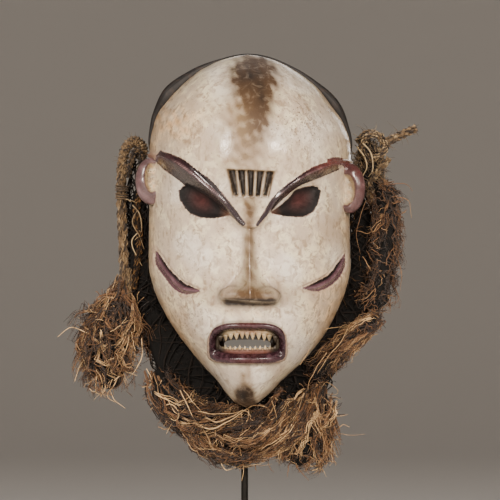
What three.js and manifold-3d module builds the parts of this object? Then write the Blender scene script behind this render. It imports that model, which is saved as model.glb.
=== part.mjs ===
// A carved and painted wooden face mask with a raffia collar, held on a black steel stand.
// Millimetres, +Z up. The mask looks along -Y and the origin is the middle of the foot's underside.
// Places on the mask are (u, v, d): u to the right of the rod, v above the chin tip, d in front of the rim.

import * as THREE from "three";
import { mergeVertices } from "three/addons/utils/BufferGeometryUtils.js";
import Module from "manifold-3d";

const wasm = await Module();
wasm.setup();

// Stand
const FOOT = { side: 160, thick: 8, bevel: 1.5 };
const ROD_Y = 34;
const ROD_RADIUS = 3;
const ARM_RADIUS = 2;
const WELD = { radius: 6, height: 3.5 };
const CHIN_STOP = { width: 14, height: 4, reach: 16 };
const FORK = { foot: 6, hookOut: 32, hookDepth: 50, roofGap: 1.8, steps: 22 };
// One arm of the fork up to its hook, as [u, v] places behind the rim
const ARM_PATH = [[18, 19], [40, 52], [47, 96], [45, 180]];

// Mask placing and main sizes
const CHIN_Z = 190;
const RIM_Y = 24;
const HEAD_HEIGHT = 300;
const MIDDLE = { u: 4, v: 150 };
const RIM_WALL = 8;
const SIDE_POWER = 2.2;
const CAVITY_LIP = 5;
const GAP = 0.4;
const HEAD_SPOKES = 40;
const HEAD_RINGS = 9;
const CUT_CLEAR = 5;

// Stations up the head: [height v, value]
const HALF_WIDTHS = [
  [0, 0], [19, 25.4], [39, 44.8], [59, 61.3], [80, 73.7], [100, 82.4], [121, 86.6],
  [160, 86], [221, 86.2], [242, 81.5], [262, 68.9], [282, 48.4], [HEAD_HEIGHT, 0],
];
const CENTRES = [[0, 1.5], [50, 6], [90, 4.8], [150, 4], [220, 4.8], [260, 2.4], [HEAD_HEIGHT, 2.8]];
const FACE_DEPTHS = [
  [0, 46], [6, 64], [20, 79], [40, 88], [60, 95], [90, 94], [130, 95], [165, 99],
  [200, 101], [240, 98], [270, 80], [290, 54], [HEAD_HEIGHT, 22],
];
const FOREHEAD_DEPTHS = [
  [140, 98], [165, 106], [185, 114], [210, 118], [240, 112], [270, 92], [290, 63], [HEAD_HEIGHT, 25],
];
const CAVITY_DEPTHS = [
  [0, 34], [20, 66], [60, 82], [100, 81], [150, 80], [178, 81], [205, 94],
  [235, 95], [265, 77], [285, 50], [HEAD_HEIGHT, 14],
];

// Features, as [u, v] places on the face
const BROWS = {
  left: {
    upper: [[-71, 216.5], [-49.4, 205.5], [-32.5, 190], [-15.6, 174.6], [1.6, 154.5]],
    lower: [[-77.5, 211], [-63, 198.6], [-46, 187.4], [-24, 173.2], [-2.2, 153]],
  },
  right: {
    upper: [[75, 209], [60.4, 203.6], [41.8, 192.6], [26.5, 179], [9, 154]],
    lower: [[81.5, 202.8], [62, 193], [45, 185.4], [28.8, 172.4], [11.6, 153]],
  },
};
const BROW = { ridge: 2.6, ridgeAt: 0.22, top: 0.2, foot: 0.8, root: 7, rootRise: 4 };
const FOREHEAD = { side: 130, leftEnd: 213, rightEnd: 203, above: 20, from: 12, to: 200 };
const EYES = {
  left: {
    upper: [[-53, 188.6], [-45, 187.2], [-34, 181.2], [-24, 172.4], [-13, 163.4]],
    lower: [[-52, 184.5], [-49, 172.5], [-40, 161.8], [-27, 159.8], [-12.4, 162.4]],
  },
  right: {
    upper: [[62.4, 187.8], [54, 187.2], [44.5, 182.4], [34.8, 174], [22.4, 165]],
    lower: [[62, 184], [57.6, 172], [48, 161.4], [36, 161.4], [21.8, 163.9]],
  },
};
const EYE = { depth: 8.5, clear: 9, lid: 0.12, corner: 0.1, corners: 0.95, across: 0.7, along: 0.6 };
const CHEEK_CUTS = {
  left: {
    outer: [[-76.8, 136.5], [-74, 119], [-67.5, 108.2], [-55, 96.4], [-33.4, 98.6]],
    inner: [[-75.6, 137], [-69.6, 127], [-61, 116.8], [-48.5, 106], [-33, 99.6]],
  },
  right: {
    outer: [[86.2, 133], [83.6, 115.5], [76.5, 104.4], [63, 97.8], [45.2, 100.8]],
    inner: [[85.2, 133.6], [79, 123.6], [70.6, 114.2], [58.6, 107.6], [45, 101.8]],
  },
};
const CHEEK_CUT = { depth: 2.4, leaf: 1.3, leafFrom: 0.2, leafTo: 0.8, leafEnd: 0.03, tip: 0.04 };
const BROW_BLOCK = {
  topLeft: [-15, 200.5], topRight: [25.8, 198.8], bottomLeft: [-9.7, 177.5], bottomRight: [19.9, 177.3],
};
const GROOVES = { count: 5, blockDepth: 1.3, depth: 4.6, share: 0.42, edge: 0.6, end: 0.04 };
const NOSE_WIDTHS = [[0, 7], [0.35, 9], [0.6, 11], [0.76, 15], [0.9, 22.5], [1, 24.6]];
const NOSE_LIFTS = [[0, 2], [0.19, 5], [0.4, 7.6], [0.6, 10.4], [0.8, 14.5], [0.95, 18.5], [1, 18]];
const NOSE = {
  top: 168, base: 93, slant: 4.5, sharp: 2.6, blunt: 1.15, spreadFrom: 0.55, spreadTo: 0.95, root: 5,
};
const WING = { from: 0.85, lift: 4.5, round: 0.92 };
const MOUTH = { u: 2.4, v: 54.6, halfWidth: 32.2, top: 18.4, bottom: 15.8, arch: 0.85, square: 0.36 };
const LIP = { side: 4, upper: 6, lower: 6.8, lift: 4.2, root: 4 };
const SLOT = { halfWidth: 23.5, top: 8, bottom: 5, recess: 6 };
const TEETH = {
  upper: { count: 11, length: 7.4, radius: 2.9, inset: 1.5 },
  lower: { count: 12, length: 4, radius: 1.9, inset: 0.4 },
  tip: 0.25,
  side: 1.5,
  bow: 0.34,
  sunk: 1.2,
};
const EARS = {
  left: {
    u: -79.5, v: 192, d: 33, reach: 13.4, tall: 20, deep: 9,
    scoopU: -80.4, scoopV: 195, scoopReach: 6.6, scoopTall: 12.4,
  },
  right: {
    u: 88.8, v: 186, d: 33, reach: 13.8, tall: 21.4, deep: 9,
    scoopU: 88.2, scoopV: 184.6, scoopReach: 8.4, scoopTall: 14,
  },
};
const CAP_BAND = {
  depth: 12, deeper: 1.9, from: [-80, 216], to: [88, 212], root: 5, steps: 22, shoulder: 0.8, crown: 0.55,
};
const CAP_SWELL = [
  [0, 0.6], [0.12, 3.6], [0.2, 7.6], [0.3, 4.4], [0.42, 0.9], [0.5, 1.2],
  [0.6, 0.9], [0.72, 3.4], [0.81, 6.2], [0.9, 3], [1, 0.6],
];

// Raffia: each bundle is a path of [u, v, d] places with its half-width and half-depth along the path
const RAFFIA = {
  rope_left: {
    path: [
      [-102, 96, 3], [-104, 135, 4], [-105.4, 178, 5], [-104.4, 210, 5],
      [-99.5, 227, 4], [-90.6, 228, 2], [-89.4, 214, -2],
    ],
    widths: [[0, 4.2], [0.5, 4.4], [0.72, 5.4], [0.86, 6], [1, 3.6]],
    depths: [[0, 4.2], [1, 4.2]],
    steps: 20, sides: 7, lump: 0.05,
  },
  rope_right: {
    path: [
      [146, 237, 10], [128, 228.6, 9], [117, 226, 8], [108, 229.6, 6],
      [100, 224.4, 4], [100.6, 208, 2], [104.6, 198.6, 2],
    ],
    widths: [[0, 4.6], [0.22, 3.8], [0.34, 8.4], [0.5, 7.6], [0.66, 8.6], [0.8, 7], [1, 5]],
    depths: [[0, 4], [0.35, 8], [0.7, 8.6], [1, 6]],
    steps: 18, sides: 7, lump: 0.1,
  },
  tassel_left: {
    path: [[-106, 92, 5], [-109, 78, 6], [-114, 58, 8], [-113, 34, 8], [-108, 12, 6]],
    widths: [[0, 8], [0.2, 22], [0.5, 26], [0.8, 20], [1, 9]],
    depths: [[0, 8], [0.4, 17], [0.8, 13], [1, 6]],
    steps: 8, sides: 10, lump: 0.16,
  },
  fringe_right: {
    path: [[113, 194, 4], [120, 178, 5], [121.4, 150, 6], [118.6, 120, 6], [114, 96, 5], [104, 86, 5]],
    widths: [[0, 5], [0.25, 13], [0.6, 11], [0.85, 13], [1, 7]],
    depths: [[0, 6], [0.4, 12], [1, 9]],
    steps: 12, sides: 8, lump: 0.14,
  },
  jaw_roll_right: {
    path: [[118, 76, 6], [104, 68, 8], [86, 52, 9], [68, 35, 10], [58, 22, 10]],
    widths: [[0, 6], [0.3, 8.4], [0.8, 9.4], [1, 7]],
    depths: [[0, 6], [0.5, 9], [1, 8]],
    steps: 8, sides: 8, lump: 0.08,
  },
  jaw_tuft_left: {
    path: [[-79, 30, 4], [-66, 8, 6], [-50, -10, 10], [-26, -12, 14], [-6, -4, 17]],
    widths: [[0, 10], [0.3, 17], [0.6, 17], [0.85, 10], [1, 4.5]],
    depths: [[0, 9], [0.5, 14], [1, 6]],
    steps: 11, sides: 8, lump: 0.13,
  },
  beard_right: {
    path: [[66, 12, 8], [60, -4, 10], [52, -20, 12], [44, -38, 10], [36, -48, 6]],
    widths: [[0, 12], [0.3, 21], [0.6, 26], [0.85, 22], [1, 10]],
    depths: [[0, 9], [0.4, 14], [0.8, 12], [1, 6]],
    steps: 9, sides: 10, lump: 0.13,
  },
  chin_roll: {
    path: [[-44, -30, 6], [-28, -42, 8], [-8, -48, 9], [10, -45, 9], [20, -36, 9]],
    widths: [[0, 6], [0.5, 8], [1, 5]],
    depths: [[0, 6], [0.5, 8], [1, 6]],
    steps: 9, sides: 8, lump: 0.12,
  },
  net_collar: {
    path: [
      [-90, 208, -3], [-91, 165, -3], [-90, 120, -3], [-85, 86, -3],
      [-64, 46, -3], [-38, 8, -2], [-14, -18, 0], [14, -20, 0],
      [42, 6, -2], [68, 42, -3], [92, 80, -3], [100, 120, -3], [101, 160, -3], [98, 196, -3],
    ],
    widths: [[0, 7], [0.1, 12], [0.3, 18], [0.42, 24], [0.5, 26], [0.6, 22], [0.78, 14], [0.92, 12], [1, 6]],
    depths: [[0, 7], [0.5, 12], [1, 7]],
    steps: 20, sides: 8, lump: 0.06,
  },
};

const PAINT = {
  kaolin: { color: 0xcdbeaa, roughness: 0.42, metalness: 0 },
  raffia: { color: 0x8a6a42, roughness: 0.9, metalness: 0 },
  rope: { color: 0x7d6a4c, roughness: 0.88, metalness: 0 },
  net: { color: 0x2c2119, roughness: 0.95, metalness: 0 },
  steel: { color: 0x14120f, roughness: 0.45, metalness: 0.6 },
};

// Curves

// A smooth curve through [place, value] stations that never overshoots them.
function smoothThrough(stations) {
  const last = stations.length - 1;
  const steps = stations.slice(1).map(([x, y], i) => (y - stations[i][1]) / (x - stations[i][0]));
  const slopes = stations.map((_, i) => {
    if (i === 0 || i === last) return steps[Math.min(i, last - 1)];
    const product = steps[i - 1] * steps[i];
    return product <= 0 ? 0 : (2 * product) / (steps[i - 1] + steps[i]);
  });
  return (place) => {
    const x = THREE.MathUtils.clamp(place, stations[0][0], stations[last][0]);
    let i = 0;
    while (i < last - 1 && stations[i + 1][0] < x) i += 1;
    const run = stations[i + 1][0] - stations[i][0];
    const t = (x - stations[i][0]) / run;
    const rise = t * t * (3 - 2 * t);
    const bend = t * (1 - t) * run;
    return (
      stations[i][1] * (1 - rise) + stations[i + 1][1] * rise + bend * ((1 - t) * slopes[i] - t * slopes[i + 1])
    );
  };
}

// The same for a size that closes like a circle at its ends: its square is what runs smoothly.
function roundThrough(stations) {
  const square = smoothThrough(stations.map(([place, value]) => [place, value * value]));
  return (place) => Math.sqrt(Math.max(0, square(place)));
}

// A curve through [u, v] or [u, v, d] places, read from 0 to 1.
function curveThrough(places) {
  const points = places.map(([u, v, d = 0]) => new THREE.Vector3(u, v, d));
  const curve = new THREE.CatmullRomCurve3(points, false, "centripetal");
  return (s) => curve.getPoint(THREE.MathUtils.clamp(s, 0, 1));
}

const lerp = THREE.MathUtils.lerp;

// The head's form

const halfWidth = roundThrough(HALF_WIDTHS);
const centre = smoothThrough(CENTRES);
const faceDepth = roundThrough(FACE_DEPTHS);
const foreheadDepth = roundThrough(FOREHEAD_DEPTHS);
const cavityDepth = roundThrough(CAVITY_DEPTHS);

const at = (u, v, d) => new THREE.Vector3(u, RIM_Y - d, CHIN_Z + v);

// How far in front of the rim a dome of the given centreline depth stands at (u, v).
function domeDepth(u, v, depthOf) {
  const across = Math.min(1, Math.abs(u - centre(v)) / Math.max(halfWidth(v), 1e-3));
  return depthOf(v) * Math.sqrt(1 - across ** SIDE_POWER);
}

// Directions from the middle of the face, the first straight up, so that one meets the chin tip.
function spokes(count) {
  return Array.from({ length: count }, (_, i) => (i / count) * 2 * Math.PI + Math.PI / 2);
}

// How deep the hollow inside the mask reaches at (u, v).
function hollowDepth(u, v) {
  const reach = outlineReach(Math.atan2(v - MIDDLE.v, u - MIDDLE.u));
  const spread = reach / (reach - RIM_WALL);
  return domeDepth(MIDDLE.u + (u - MIDDLE.u) * spread, MIDDLE.v + (v - MIDDLE.v) * spread, cavityDepth);
}

// The height at which the hollow's roof comes down to the depth d.
function roofHeight(u, d) {
  let v = HEAD_HEIGHT - RIM_WALL - 1;
  while (hollowDepth(u, v) < d) v -= 0.25;
  return v;
}

// A place lifted off a dome along its outward normal.
function lifted(u, v, lift, depthOf = faceDepth) {
  const step = 0.5;
  const slopeU = (domeDepth(u + step, v, depthOf) - domeDepth(u - step, v, depthOf)) / (2 * step);
  const slopeV = (domeDepth(u, v + step, depthOf) - domeDepth(u, v - step, depthOf)) / (2 * step);
  const normal = new THREE.Vector3(-slopeU, -slopeV, 1).normalize();
  return at(u + normal.x * lift, v + normal.y * lift, domeDepth(u, v, depthOf) + normal.z * lift);
}

// The distance from the middle of the face to the head's outline in one direction.
function outlineReach(angle) {
  let inside = 20;
  let outside = 200;
  for (let i = 0; i < 30; i += 1) {
    const reach = (inside + outside) / 2;
    const u = MIDDLE.u + reach * Math.cos(angle);
    const v = MIDDLE.v + reach * Math.sin(angle);
    const within = v > 0 && v < HEAD_HEIGHT && Math.abs(u - centre(v)) < halfWidth(v);
    if (within) inside = reach;
    else outside = reach;
  }
  return inside;
}

// Solids

function solid(geometry) {
  const bare = new THREE.BufferGeometry().setAttribute("position", geometry.getAttribute("position"));
  if (geometry.index) bare.setIndex(geometry.index);
  const merged = mergeVertices(bare, 1e-4);
  return new wasm.Manifold(
    new wasm.Mesh({
      numProp: 3,
      vertProperties: new Float32Array(merged.attributes.position.array),
      triVerts: new Uint32Array(merged.index.array),
    }),
  );
}

function joined(pieces) {
  return pieces.reduce((whole, piece) => whole.add(piece));
}

// A solid from points and triangles, turned to face outwards.
function closed(points, faces) {
  const geometry = new THREE.BufferGeometry().setFromPoints(points);
  geometry.setIndex(faces);
  const made = solid(geometry);
  if (made.volume() > 0) return made;
  geometry.setIndex(faces.toReversed());
  return solid(geometry);
}

// The triangles that skin a stack of rings with the same number of points.
function skin(count, sides) {
  const faces = [];
  for (let i = 0; i < count - 1; i += 1) {
    for (let j = 0; j < sides; j += 1) {
      const a = i * sides + j;
      const b = i * sides + ((j + 1) % sides);
      faces.push(a, b, b + sides, a, b + sides, a + sides);
    }
  }
  return faces;
}

// A closed solid over rings of points that run the same way round, with a fan over each end.
function loft(rings, startMiddle = middleOf(rings[0]), endMiddle = middleOf(rings.at(-1))) {
  const sides = rings[0].length;
  const points = [...rings.flat(), startMiddle, endMiddle];
  const faces = skin(rings.length, sides);
  const end = (rings.length - 1) * sides;
  for (let j = 0; j < sides; j += 1) {
    const next = (j + 1) % sides;
    faces.push(points.length - 2, next, j, points.length - 1, end + j, end + next);
  }
  return closed(points, faces);
}

function middleOf(ring) {
  return ring.reduce((sum, point) => sum.add(point), new THREE.Vector3()).divideScalar(ring.length);
}

// A thin solid between two edges: front(s, a) and back(s, a) give its faces, a running from edge to edge.
function slab(front, back, along, across) {
  const rings = [];
  for (let i = 0; i <= along; i += 1) {
    const ring = [];
    for (let j = 0; j <= across; j += 1) ring.push(front(i / along, j / across));
    for (let j = across; j >= 0; j -= 1) ring.push(back(i / along, j / across));
    rings.push(ring);
  }
  return loft(rings);
}

// A solid dome over the head's outline, inset by a wall and run out behind the rim where asked.
function dome(depthAt, count, rings, { inset = 0, behind = 0 } = {}) {
  const loops = [];
  for (let j = rings; j >= 1; j -= 1) {
    const share = Math.sin((j / rings) * (Math.PI / 2));
    const loop = spokes(count).map((angle) => {
      const reach = share * (outlineReach(angle) - inset);
      const u = MIDDLE.u + reach * Math.cos(angle);
      const v = MIDDLE.v + reach * Math.sin(angle);
      return at(u, v, j === rings ? 0 : depthAt(u, v));
    });
    if (j === rings && behind > 0) loops.push(loop.map((p) => new THREE.Vector3(p.x, RIM_Y + behind, p.z)));
    loops.push(loop);
  }
  return loft(loops, at(MIDDLE.u, MIDDLE.v, -behind), at(MIDDLE.u, MIDDLE.v, depthAt(MIDDLE.u, MIDDLE.v)));
}

// An outline of [u, v] places pushed through from one depth to another.
function prism(outline, from, to) {
  const shape = new THREE.Shape(outline.map(([u, v]) => new THREE.Vector2(u, v)));
  const geometry = new THREE.ExtrudeGeometry(shape, { depth: to - from, bevelEnabled: false });
  geometry.translate(0, 0, from);
  geometry.applyMatrix4(
    new THREE.Matrix4().makeBasis(new THREE.Vector3(1, 0, 0), new THREE.Vector3(0, 0, 1), new THREE.Vector3(0, -1, 0)),
  );
  geometry.translate(0, RIM_Y, CHIN_Z);
  return solid(geometry);
}

function ellipsoid(middle, radii, along = 14, up = 9) {
  const geometry = new THREE.SphereGeometry(1, along, up);
  geometry.scale(...radii);
  geometry.translate(middle.x, middle.y, middle.z);
  return solid(geometry);
}

// Mask

// The forehead: a fuller dome that ends along the two brows and the bridge of the nose.
function forehead() {
  const { side, leftEnd, rightEnd, above, from, to } = FOREHEAD;
  const top = HEAD_HEIGHT + above;
  const brows = [...BROWS.left.lower, ...BROWS.right.lower.toReversed()];
  const outline = [[-side, leftEnd], ...brows, [side, rightEnd], [side, top], [-side, top]];
  const forehead = dome((u, v) => domeDepth(u, v, foreheadDepth), HEAD_SPOKES, HEAD_RINGS);
  return forehead.intersect(prism(outline, from, to));
}

function brow({ upper, lower }) {
  const top = curveThrough(upper);
  const bottom = curveThrough(lower);
  const front = (s, a) => {
    const high = top(s);
    const low = bottom(s);
    const crestU = lerp(high.x, low.x, BROW.ridgeAt);
    const crestV = lerp(high.y, low.y, BROW.ridgeAt);
    const crest = lifted(crestU, crestV, BROW.ridge, foreheadDepth);
    if (a === 0) return lifted(high.x, high.y, BROW.top, foreheadDepth);
    const foot = lifted(low.x, low.y, BROW.foot);
    return crest.lerp(foot, (a - 0.25) / 0.75);
  };
  const back = (s, a) => {
    const high = top(s);
    const low = bottom(s);
    return lifted(lerp(high.x, low.x, a), lerp(high.y, low.y, a), BROW.rootRise * (1 - a) - BROW.root);
  };
  return slab(front, back, 10, 4);
}

function eyeSocket({ upper, lower }) {
  const top = curveThrough(upper);
  const bottom = curveThrough(lower);
  const face = (lift) => (s, a) => {
    const high = top(s);
    const low = bottom(s);
    return lifted(lerp(high.x, low.x, a), lerp(high.y, low.y, a), lift(s, a));
  };
  const hollow = (s, a) => {
    const across = Math.sin(Math.PI * Math.min(1, lerp(EYE.lid, 1, a))) ** EYE.across;
    const along = Math.sin(Math.PI * lerp(EYE.corner, EYE.corners, s)) ** EYE.along;
    return -EYE.depth * across * along;
  };
  return slab(face(() => EYE.clear), face(hollow), 9, 4);
}

function cheekCut({ outer, inner }) {
  const out = curveThrough(outer);
  const inn = curveThrough(inner);
  const place = (s, a, lift) => {
    const from = out(s);
    const to = inn(s);
    return lifted(lerp(from.x, to.x, a), lerp(from.y, to.y, a), lift);
  };
  const swell = (s) => Math.sqrt(Math.sin(Math.PI * lerp(CHEEK_CUT.tip, 1 - CHEEK_CUT.tip, s)));
  const floor = (s, a) => place(s, a, -CHEEK_CUT.depth * swell(s));
  const recess = slab((s, a) => place(s, a, CUT_CLEAR), floor, 9, 1);
  const leafPlace = (s, a, lift) => {
    const along = lerp(CHEEK_CUT.leafEnd, 1 - CHEEK_CUT.leafEnd, s);
    return place(along, lerp(CHEEK_CUT.leafFrom, CHEEK_CUT.leafTo, a), lift);
  };
  const leaf = slab(
    (s, a) => leafPlace(s, a, (a === 0.5 ? CHEEK_CUT.leaf : -1) * swell(s)),
    (s, a) => leafPlace(s, a, -CUT_CLEAR),
    9,
    2,
  );
  return { recess, leaf };
}

// The notched block over the bridge: a shallow panel with upright V-grooves.
function browBlockCuts() {
  const { topLeft, topRight, bottomLeft, bottomRight } = BROW_BLOCK;
  const place = (a, s, lift) => {
    const u = lerp(lerp(topLeft[0], topRight[0], a), lerp(bottomLeft[0], bottomRight[0], a), s);
    const v = lerp(lerp(topLeft[1], topRight[1], a), lerp(bottomLeft[1], bottomRight[1], a), s);
    return lifted(u, v, lift, foreheadDepth);
  };
  const panel = slab((s, a) => place(a, s, CUT_CLEAR), (s, a) => place(a, s, -GROOVES.blockDepth), 2, 3);
  const cuts = [];
  for (let i = 0; i < GROOVES.count; i += 1) {
    const middle = (i + 0.5) / GROOVES.count;
    const half = GROOVES.share / GROOVES.count;
    const groove = (s, a, lift) => place(middle + half * (2 * a - 1), lerp(GROOVES.end, 1 - GROOVES.end, s), lift);
    const depth = (a) => (a === 0.5 ? GROOVES.depth : GROOVES.blockDepth * GROOVES.edge);
    cuts.push(slab((s, a) => groove(s, a, CUT_CLEAR), (s, a) => groove(s, a, -depth(a)), 1, 2));
  }
  return joined([panel, ...cuts]);
}

// The nose: a sharp ridge that spreads at the bottom into a wide base with a flat underside.
function nose() {
  const width = smoothThrough(NOSE_WIDTHS);
  const height = smoothThrough(NOSE_LIFTS);
  const front = (s, a) => {
    const side = 2 * a - 1;
    const v = lerp(NOSE.top, NOSE.base, s);
    const u = centre(v) + side * width(s);
    const power = lerp(NOSE.sharp, NOSE.blunt, THREE.MathUtils.smoothstep(s, NOSE.spreadFrom, NOSE.spreadTo));
    const flare = Math.max(0, (s - WING.from) / (1 - WING.from));
    const wing = WING.lift * flare * Math.sqrt(1 - side * side * WING.round);
    const ridge = height(s) * (1 - Math.abs(side)) ** power;
    return lifted(u, v, Math.max(ridge, wing) + 0.1);
  };
  const back = (s, a) => {
    const v = lerp(NOSE.top, NOSE.base - (s === 1 ? NOSE.slant : 0), s);
    return lifted(centre(v) + (2 * a - 1) * width(s), v, -NOSE.root);
  };
  return slab(front, back, 10, 6);
}

// A point on the mouth's outline: arched above, squarer below.
function mouthPoint(angle, size, lift) {
  const up = Math.sin(angle) >= 0;
  const power = up ? MOUTH.arch : MOUTH.square;
  const cos = Math.cos(angle);
  const sin = Math.sin(angle);
  const u = MOUTH.u + size.halfWidth * Math.sign(cos) * Math.abs(cos) ** 0.5;
  const v = MOUTH.v + (up ? size.top : size.bottom) * Math.sign(sin) * Math.abs(sin) ** power;
  return lifted(u, v, lift);
}

function mouthRing(size, lift, count = 24) {
  const ring = [];
  for (let i = 0; i < count; i += 1) ring.push(mouthPoint(((i + 0.5) / count) * 2 * Math.PI, size, lift));
  return ring;
}

const lipOuter = { halfWidth: MOUTH.halfWidth, top: MOUTH.top, bottom: MOUTH.bottom };
const lipInner = {
  halfWidth: MOUTH.halfWidth - LIP.side,
  top: MOUTH.top - LIP.upper,
  bottom: MOUTH.bottom - LIP.lower,
};

const between = (from, to, share) => ({
  halfWidth: lerp(from.halfWidth, to.halfWidth, share),
  top: lerp(from.top, to.top, share),
  bottom: lerp(from.bottom, to.bottom, share),
});

function lips() {
  return loft([
    mouthRing(lipOuter, -LIP.root),
    mouthRing(lipOuter, 0.3),
    mouthRing(between(lipOuter, lipInner, 0.22), LIP.lift * 0.8),
    mouthRing(between(lipOuter, lipInner, 0.55), LIP.lift),
    mouthRing(between(lipOuter, lipInner, 0.85), LIP.lift * 0.7),
  ]);
}

function mouthCut() {
  const slot = { halfWidth: SLOT.halfWidth, top: SLOT.top, bottom: SLOT.bottom };
  const recess = loft([mouthRing(lipInner, -SLOT.recess), mouthRing(lipInner, 12)]);
  const through = loft([mouthRing(slot, -34), mouthRing(slot, -SLOT.recess + 2)]);
  return recess.add(through);
}

function teeth() {
  const made = [];
  for (const [row, up] of [[TEETH.upper, 1], [TEETH.lower, -1]]) {
    for (let i = 0; i < row.count; i += 1) {
      const share = ((i + 0.5) / row.count) * 2 - 1;
      const u = MOUTH.u + share * (lipInner.halfWidth - TEETH.side);
      const arch = up > 0 ? lipInner.top * (1 - TEETH.bow * share * share) : lipInner.bottom;
      const root = MOUTH.v + up * arch + up * row.inset;
      const tip = root - up * row.length;
      const radius = row.radius;
      const ring = (v, r) => [
        lifted(u - r, v, -TEETH.sunk),
        lifted(u, v, r / 2 - TEETH.sunk),
        lifted(u + r, v, -TEETH.sunk),
        lifted(u, v, -SLOT.recess - 1),
      ];
      made.push(loft([ring(root, radius), ring(tip, TEETH.tip)]));
    }
  }
  return made;
}

function ear({ u, v, d, reach, tall, deep, scoopU, scoopV, scoopReach, scoopTall }, grow = 0) {
  const body = ellipsoid(at(u, v, d), [reach + grow, deep + grow, tall + grow], 12, 9);
  const scoop = ellipsoid(at(scoopU, scoopV, d + deep), [scoopReach, deep * 0.75, scoopTall], 10, 7);
  return { body, scoop };
}

// The dark hair band round the back edge, from temple to temple.
function capBand(grow = 0) {
  const swell = smoothThrough(CAP_SWELL);
  const [fromAngle, toAngle] = [CAP_BAND.from, CAP_BAND.to].map(([u, v]) => Math.atan2(v - MIDDLE.v, u - MIDDLE.u));
  const rings = [];
  for (let i = 0; i <= CAP_BAND.steps; i += 1) {
    const s = i / CAP_BAND.steps;
    const angle = lerp(fromAngle, toAngle, s);
    const reach = outlineReach(angle);
    const out = (extra, d) => {
      const distance = reach + extra;
      return at(MIDDLE.u + distance * Math.cos(angle), MIDDLE.v + distance * Math.sin(angle), d);
    };
    const w = swell(s) + grow;
    const front = CAP_BAND.depth + CAP_BAND.deeper * swell(s) + grow;
    const root = -CAP_BAND.root;
    rings.push([
      out(root, 0),
      out(w, 0),
      out(w, front * CAP_BAND.shoulder),
      out(w * CAP_BAND.crown, front),
      out(root, front),
    ]);
  }
  return loft(rings);
}

function maskSolid() {
  const cuts = [];
  const added = [];
  for (const side of ["left", "right"]) {
    const cheek = cheekCut(CHEEK_CUTS[side]);
    const lobe = ear(EARS[side]);
    cuts.push(eyeSocket(EYES[side]), cheek.recess, lobe.scoop);
    added.push(cheek.leaf);
  }
  const head = dome((u, v) => domeDepth(u, v, faceDepth), HEAD_SPOKES, HEAD_RINGS);
  const cavity = dome(hollowDepth, 24, 6, { inset: RIM_WALL, behind: CAVITY_LIP });
  return head
    .add(joined([ear(EARS.left).body, ear(EARS.right).body, capBand()]))
    .subtract(joined(cuts))
    .add(forehead())
    .subtract(browBlockCuts())
    .add(brow(BROWS.left))
    .add(brow(BROWS.right))
    .add(nose())
    .add(lips())
    .subtract(mouthCut())
    .add(joined([...added, ...teeth()]))
    .subtract(cavity);
}

// Raffia

// A rounded bundle along a path, a little lumpy, with its ends drawn in.
function bundle({ path, widths, depths, steps, sides, lump }, grow = 0) {
  const along = curveThrough(path);
  const wide = smoothThrough(widths);
  const deep = smoothThrough(depths);
  const rings = [];
  for (let i = 0; i <= steps; i += 1) {
    const s = i / steps;
    const middle = along(s);
    const ahead = along(Math.min(1, s + 0.02)).sub(along(Math.max(0, s - 0.02)));
    const past = i === 0 ? -grow : i === steps ? grow : 0;
    middle.addScaledVector(ahead.clone().normalize(), past);
    const outward = new THREE.Vector3(ahead.y, -ahead.x, 0).normalize();
    const ring = [];
    for (let j = 0; j < sides; j += 1) {
      const angle = (j / sides) * 2 * Math.PI;
      const bump = 1 + lump * (Math.sin(2.7 * i + 1.9 * j) + 0.6 * Math.sin(5.1 * j + 1.3 * i));
      const w = (wide(s) * bump + grow) * Math.cos(angle);
      const p = (deep(s) * bump + grow) * Math.sin(angle);
      ring.push(at(middle.x + outward.x * w, middle.y + outward.y * w, middle.z + p));
    }
    rings.push(ring);
  }
  return loft(rings);
}

// The room the mask takes up, with a small gap, and the column behind its rim.
function maskRoom() {
  const outline = spokes(HEAD_SPOKES).map((angle) => {
    const reach = outlineReach(angle) + 2 * GAP;
    return [MIDDLE.u + reach * Math.cos(angle), MIDDLE.v + reach * Math.sin(angle)];
  });
  const ears = Object.values(EARS).map((side) => ear(side, GAP).body);
  return joined([prism(outline, -60, 160), capBand(GAP), ...ears]);
}

function raffiaSolids(stand) {
  const room = maskRoom();
  const solids = {};
  const taken = [];
  for (const [name, spec] of Object.entries(RAFFIA)) {
    let made = bundle(spec).subtract(room).subtract(stand);
    for (const other of taken) made = made.subtract(other);
    taken.push(bundle(spec, GAP));
    solids[name] = biggest(made);
  }
  return solids;
}

// The largest body of a cut solid; slivers that a cut leaves behind are dropped.
function biggest(made) {
  return made.decompose().reduce((best, body) => (body.volume() > best.volume() ? body : best));
}

// Stand

function tube(places, radius, steps) {
  const curve = new THREE.CatmullRomCurve3(places.map(([u, v, d]) => at(u, v, d)), false, "centripetal");
  const section = new THREE.Shape();
  section.absarc(0, 0, radius, 0, 2 * Math.PI);
  const options = { extrudePath: curve, steps, curveSegments: 4, bevelEnabled: false };
  const geometry = new THREE.ExtrudeGeometry(section, options);
  return solid(geometry);
}

function upright(radius, from, to, segments = 16) {
  const geometry = new THREE.CylinderGeometry(radius, radius, to - from, segments);
  geometry.rotateX(Math.PI / 2);
  geometry.translate(0, ROD_Y, (from + to) / 2);
  return solid(geometry);
}

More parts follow.
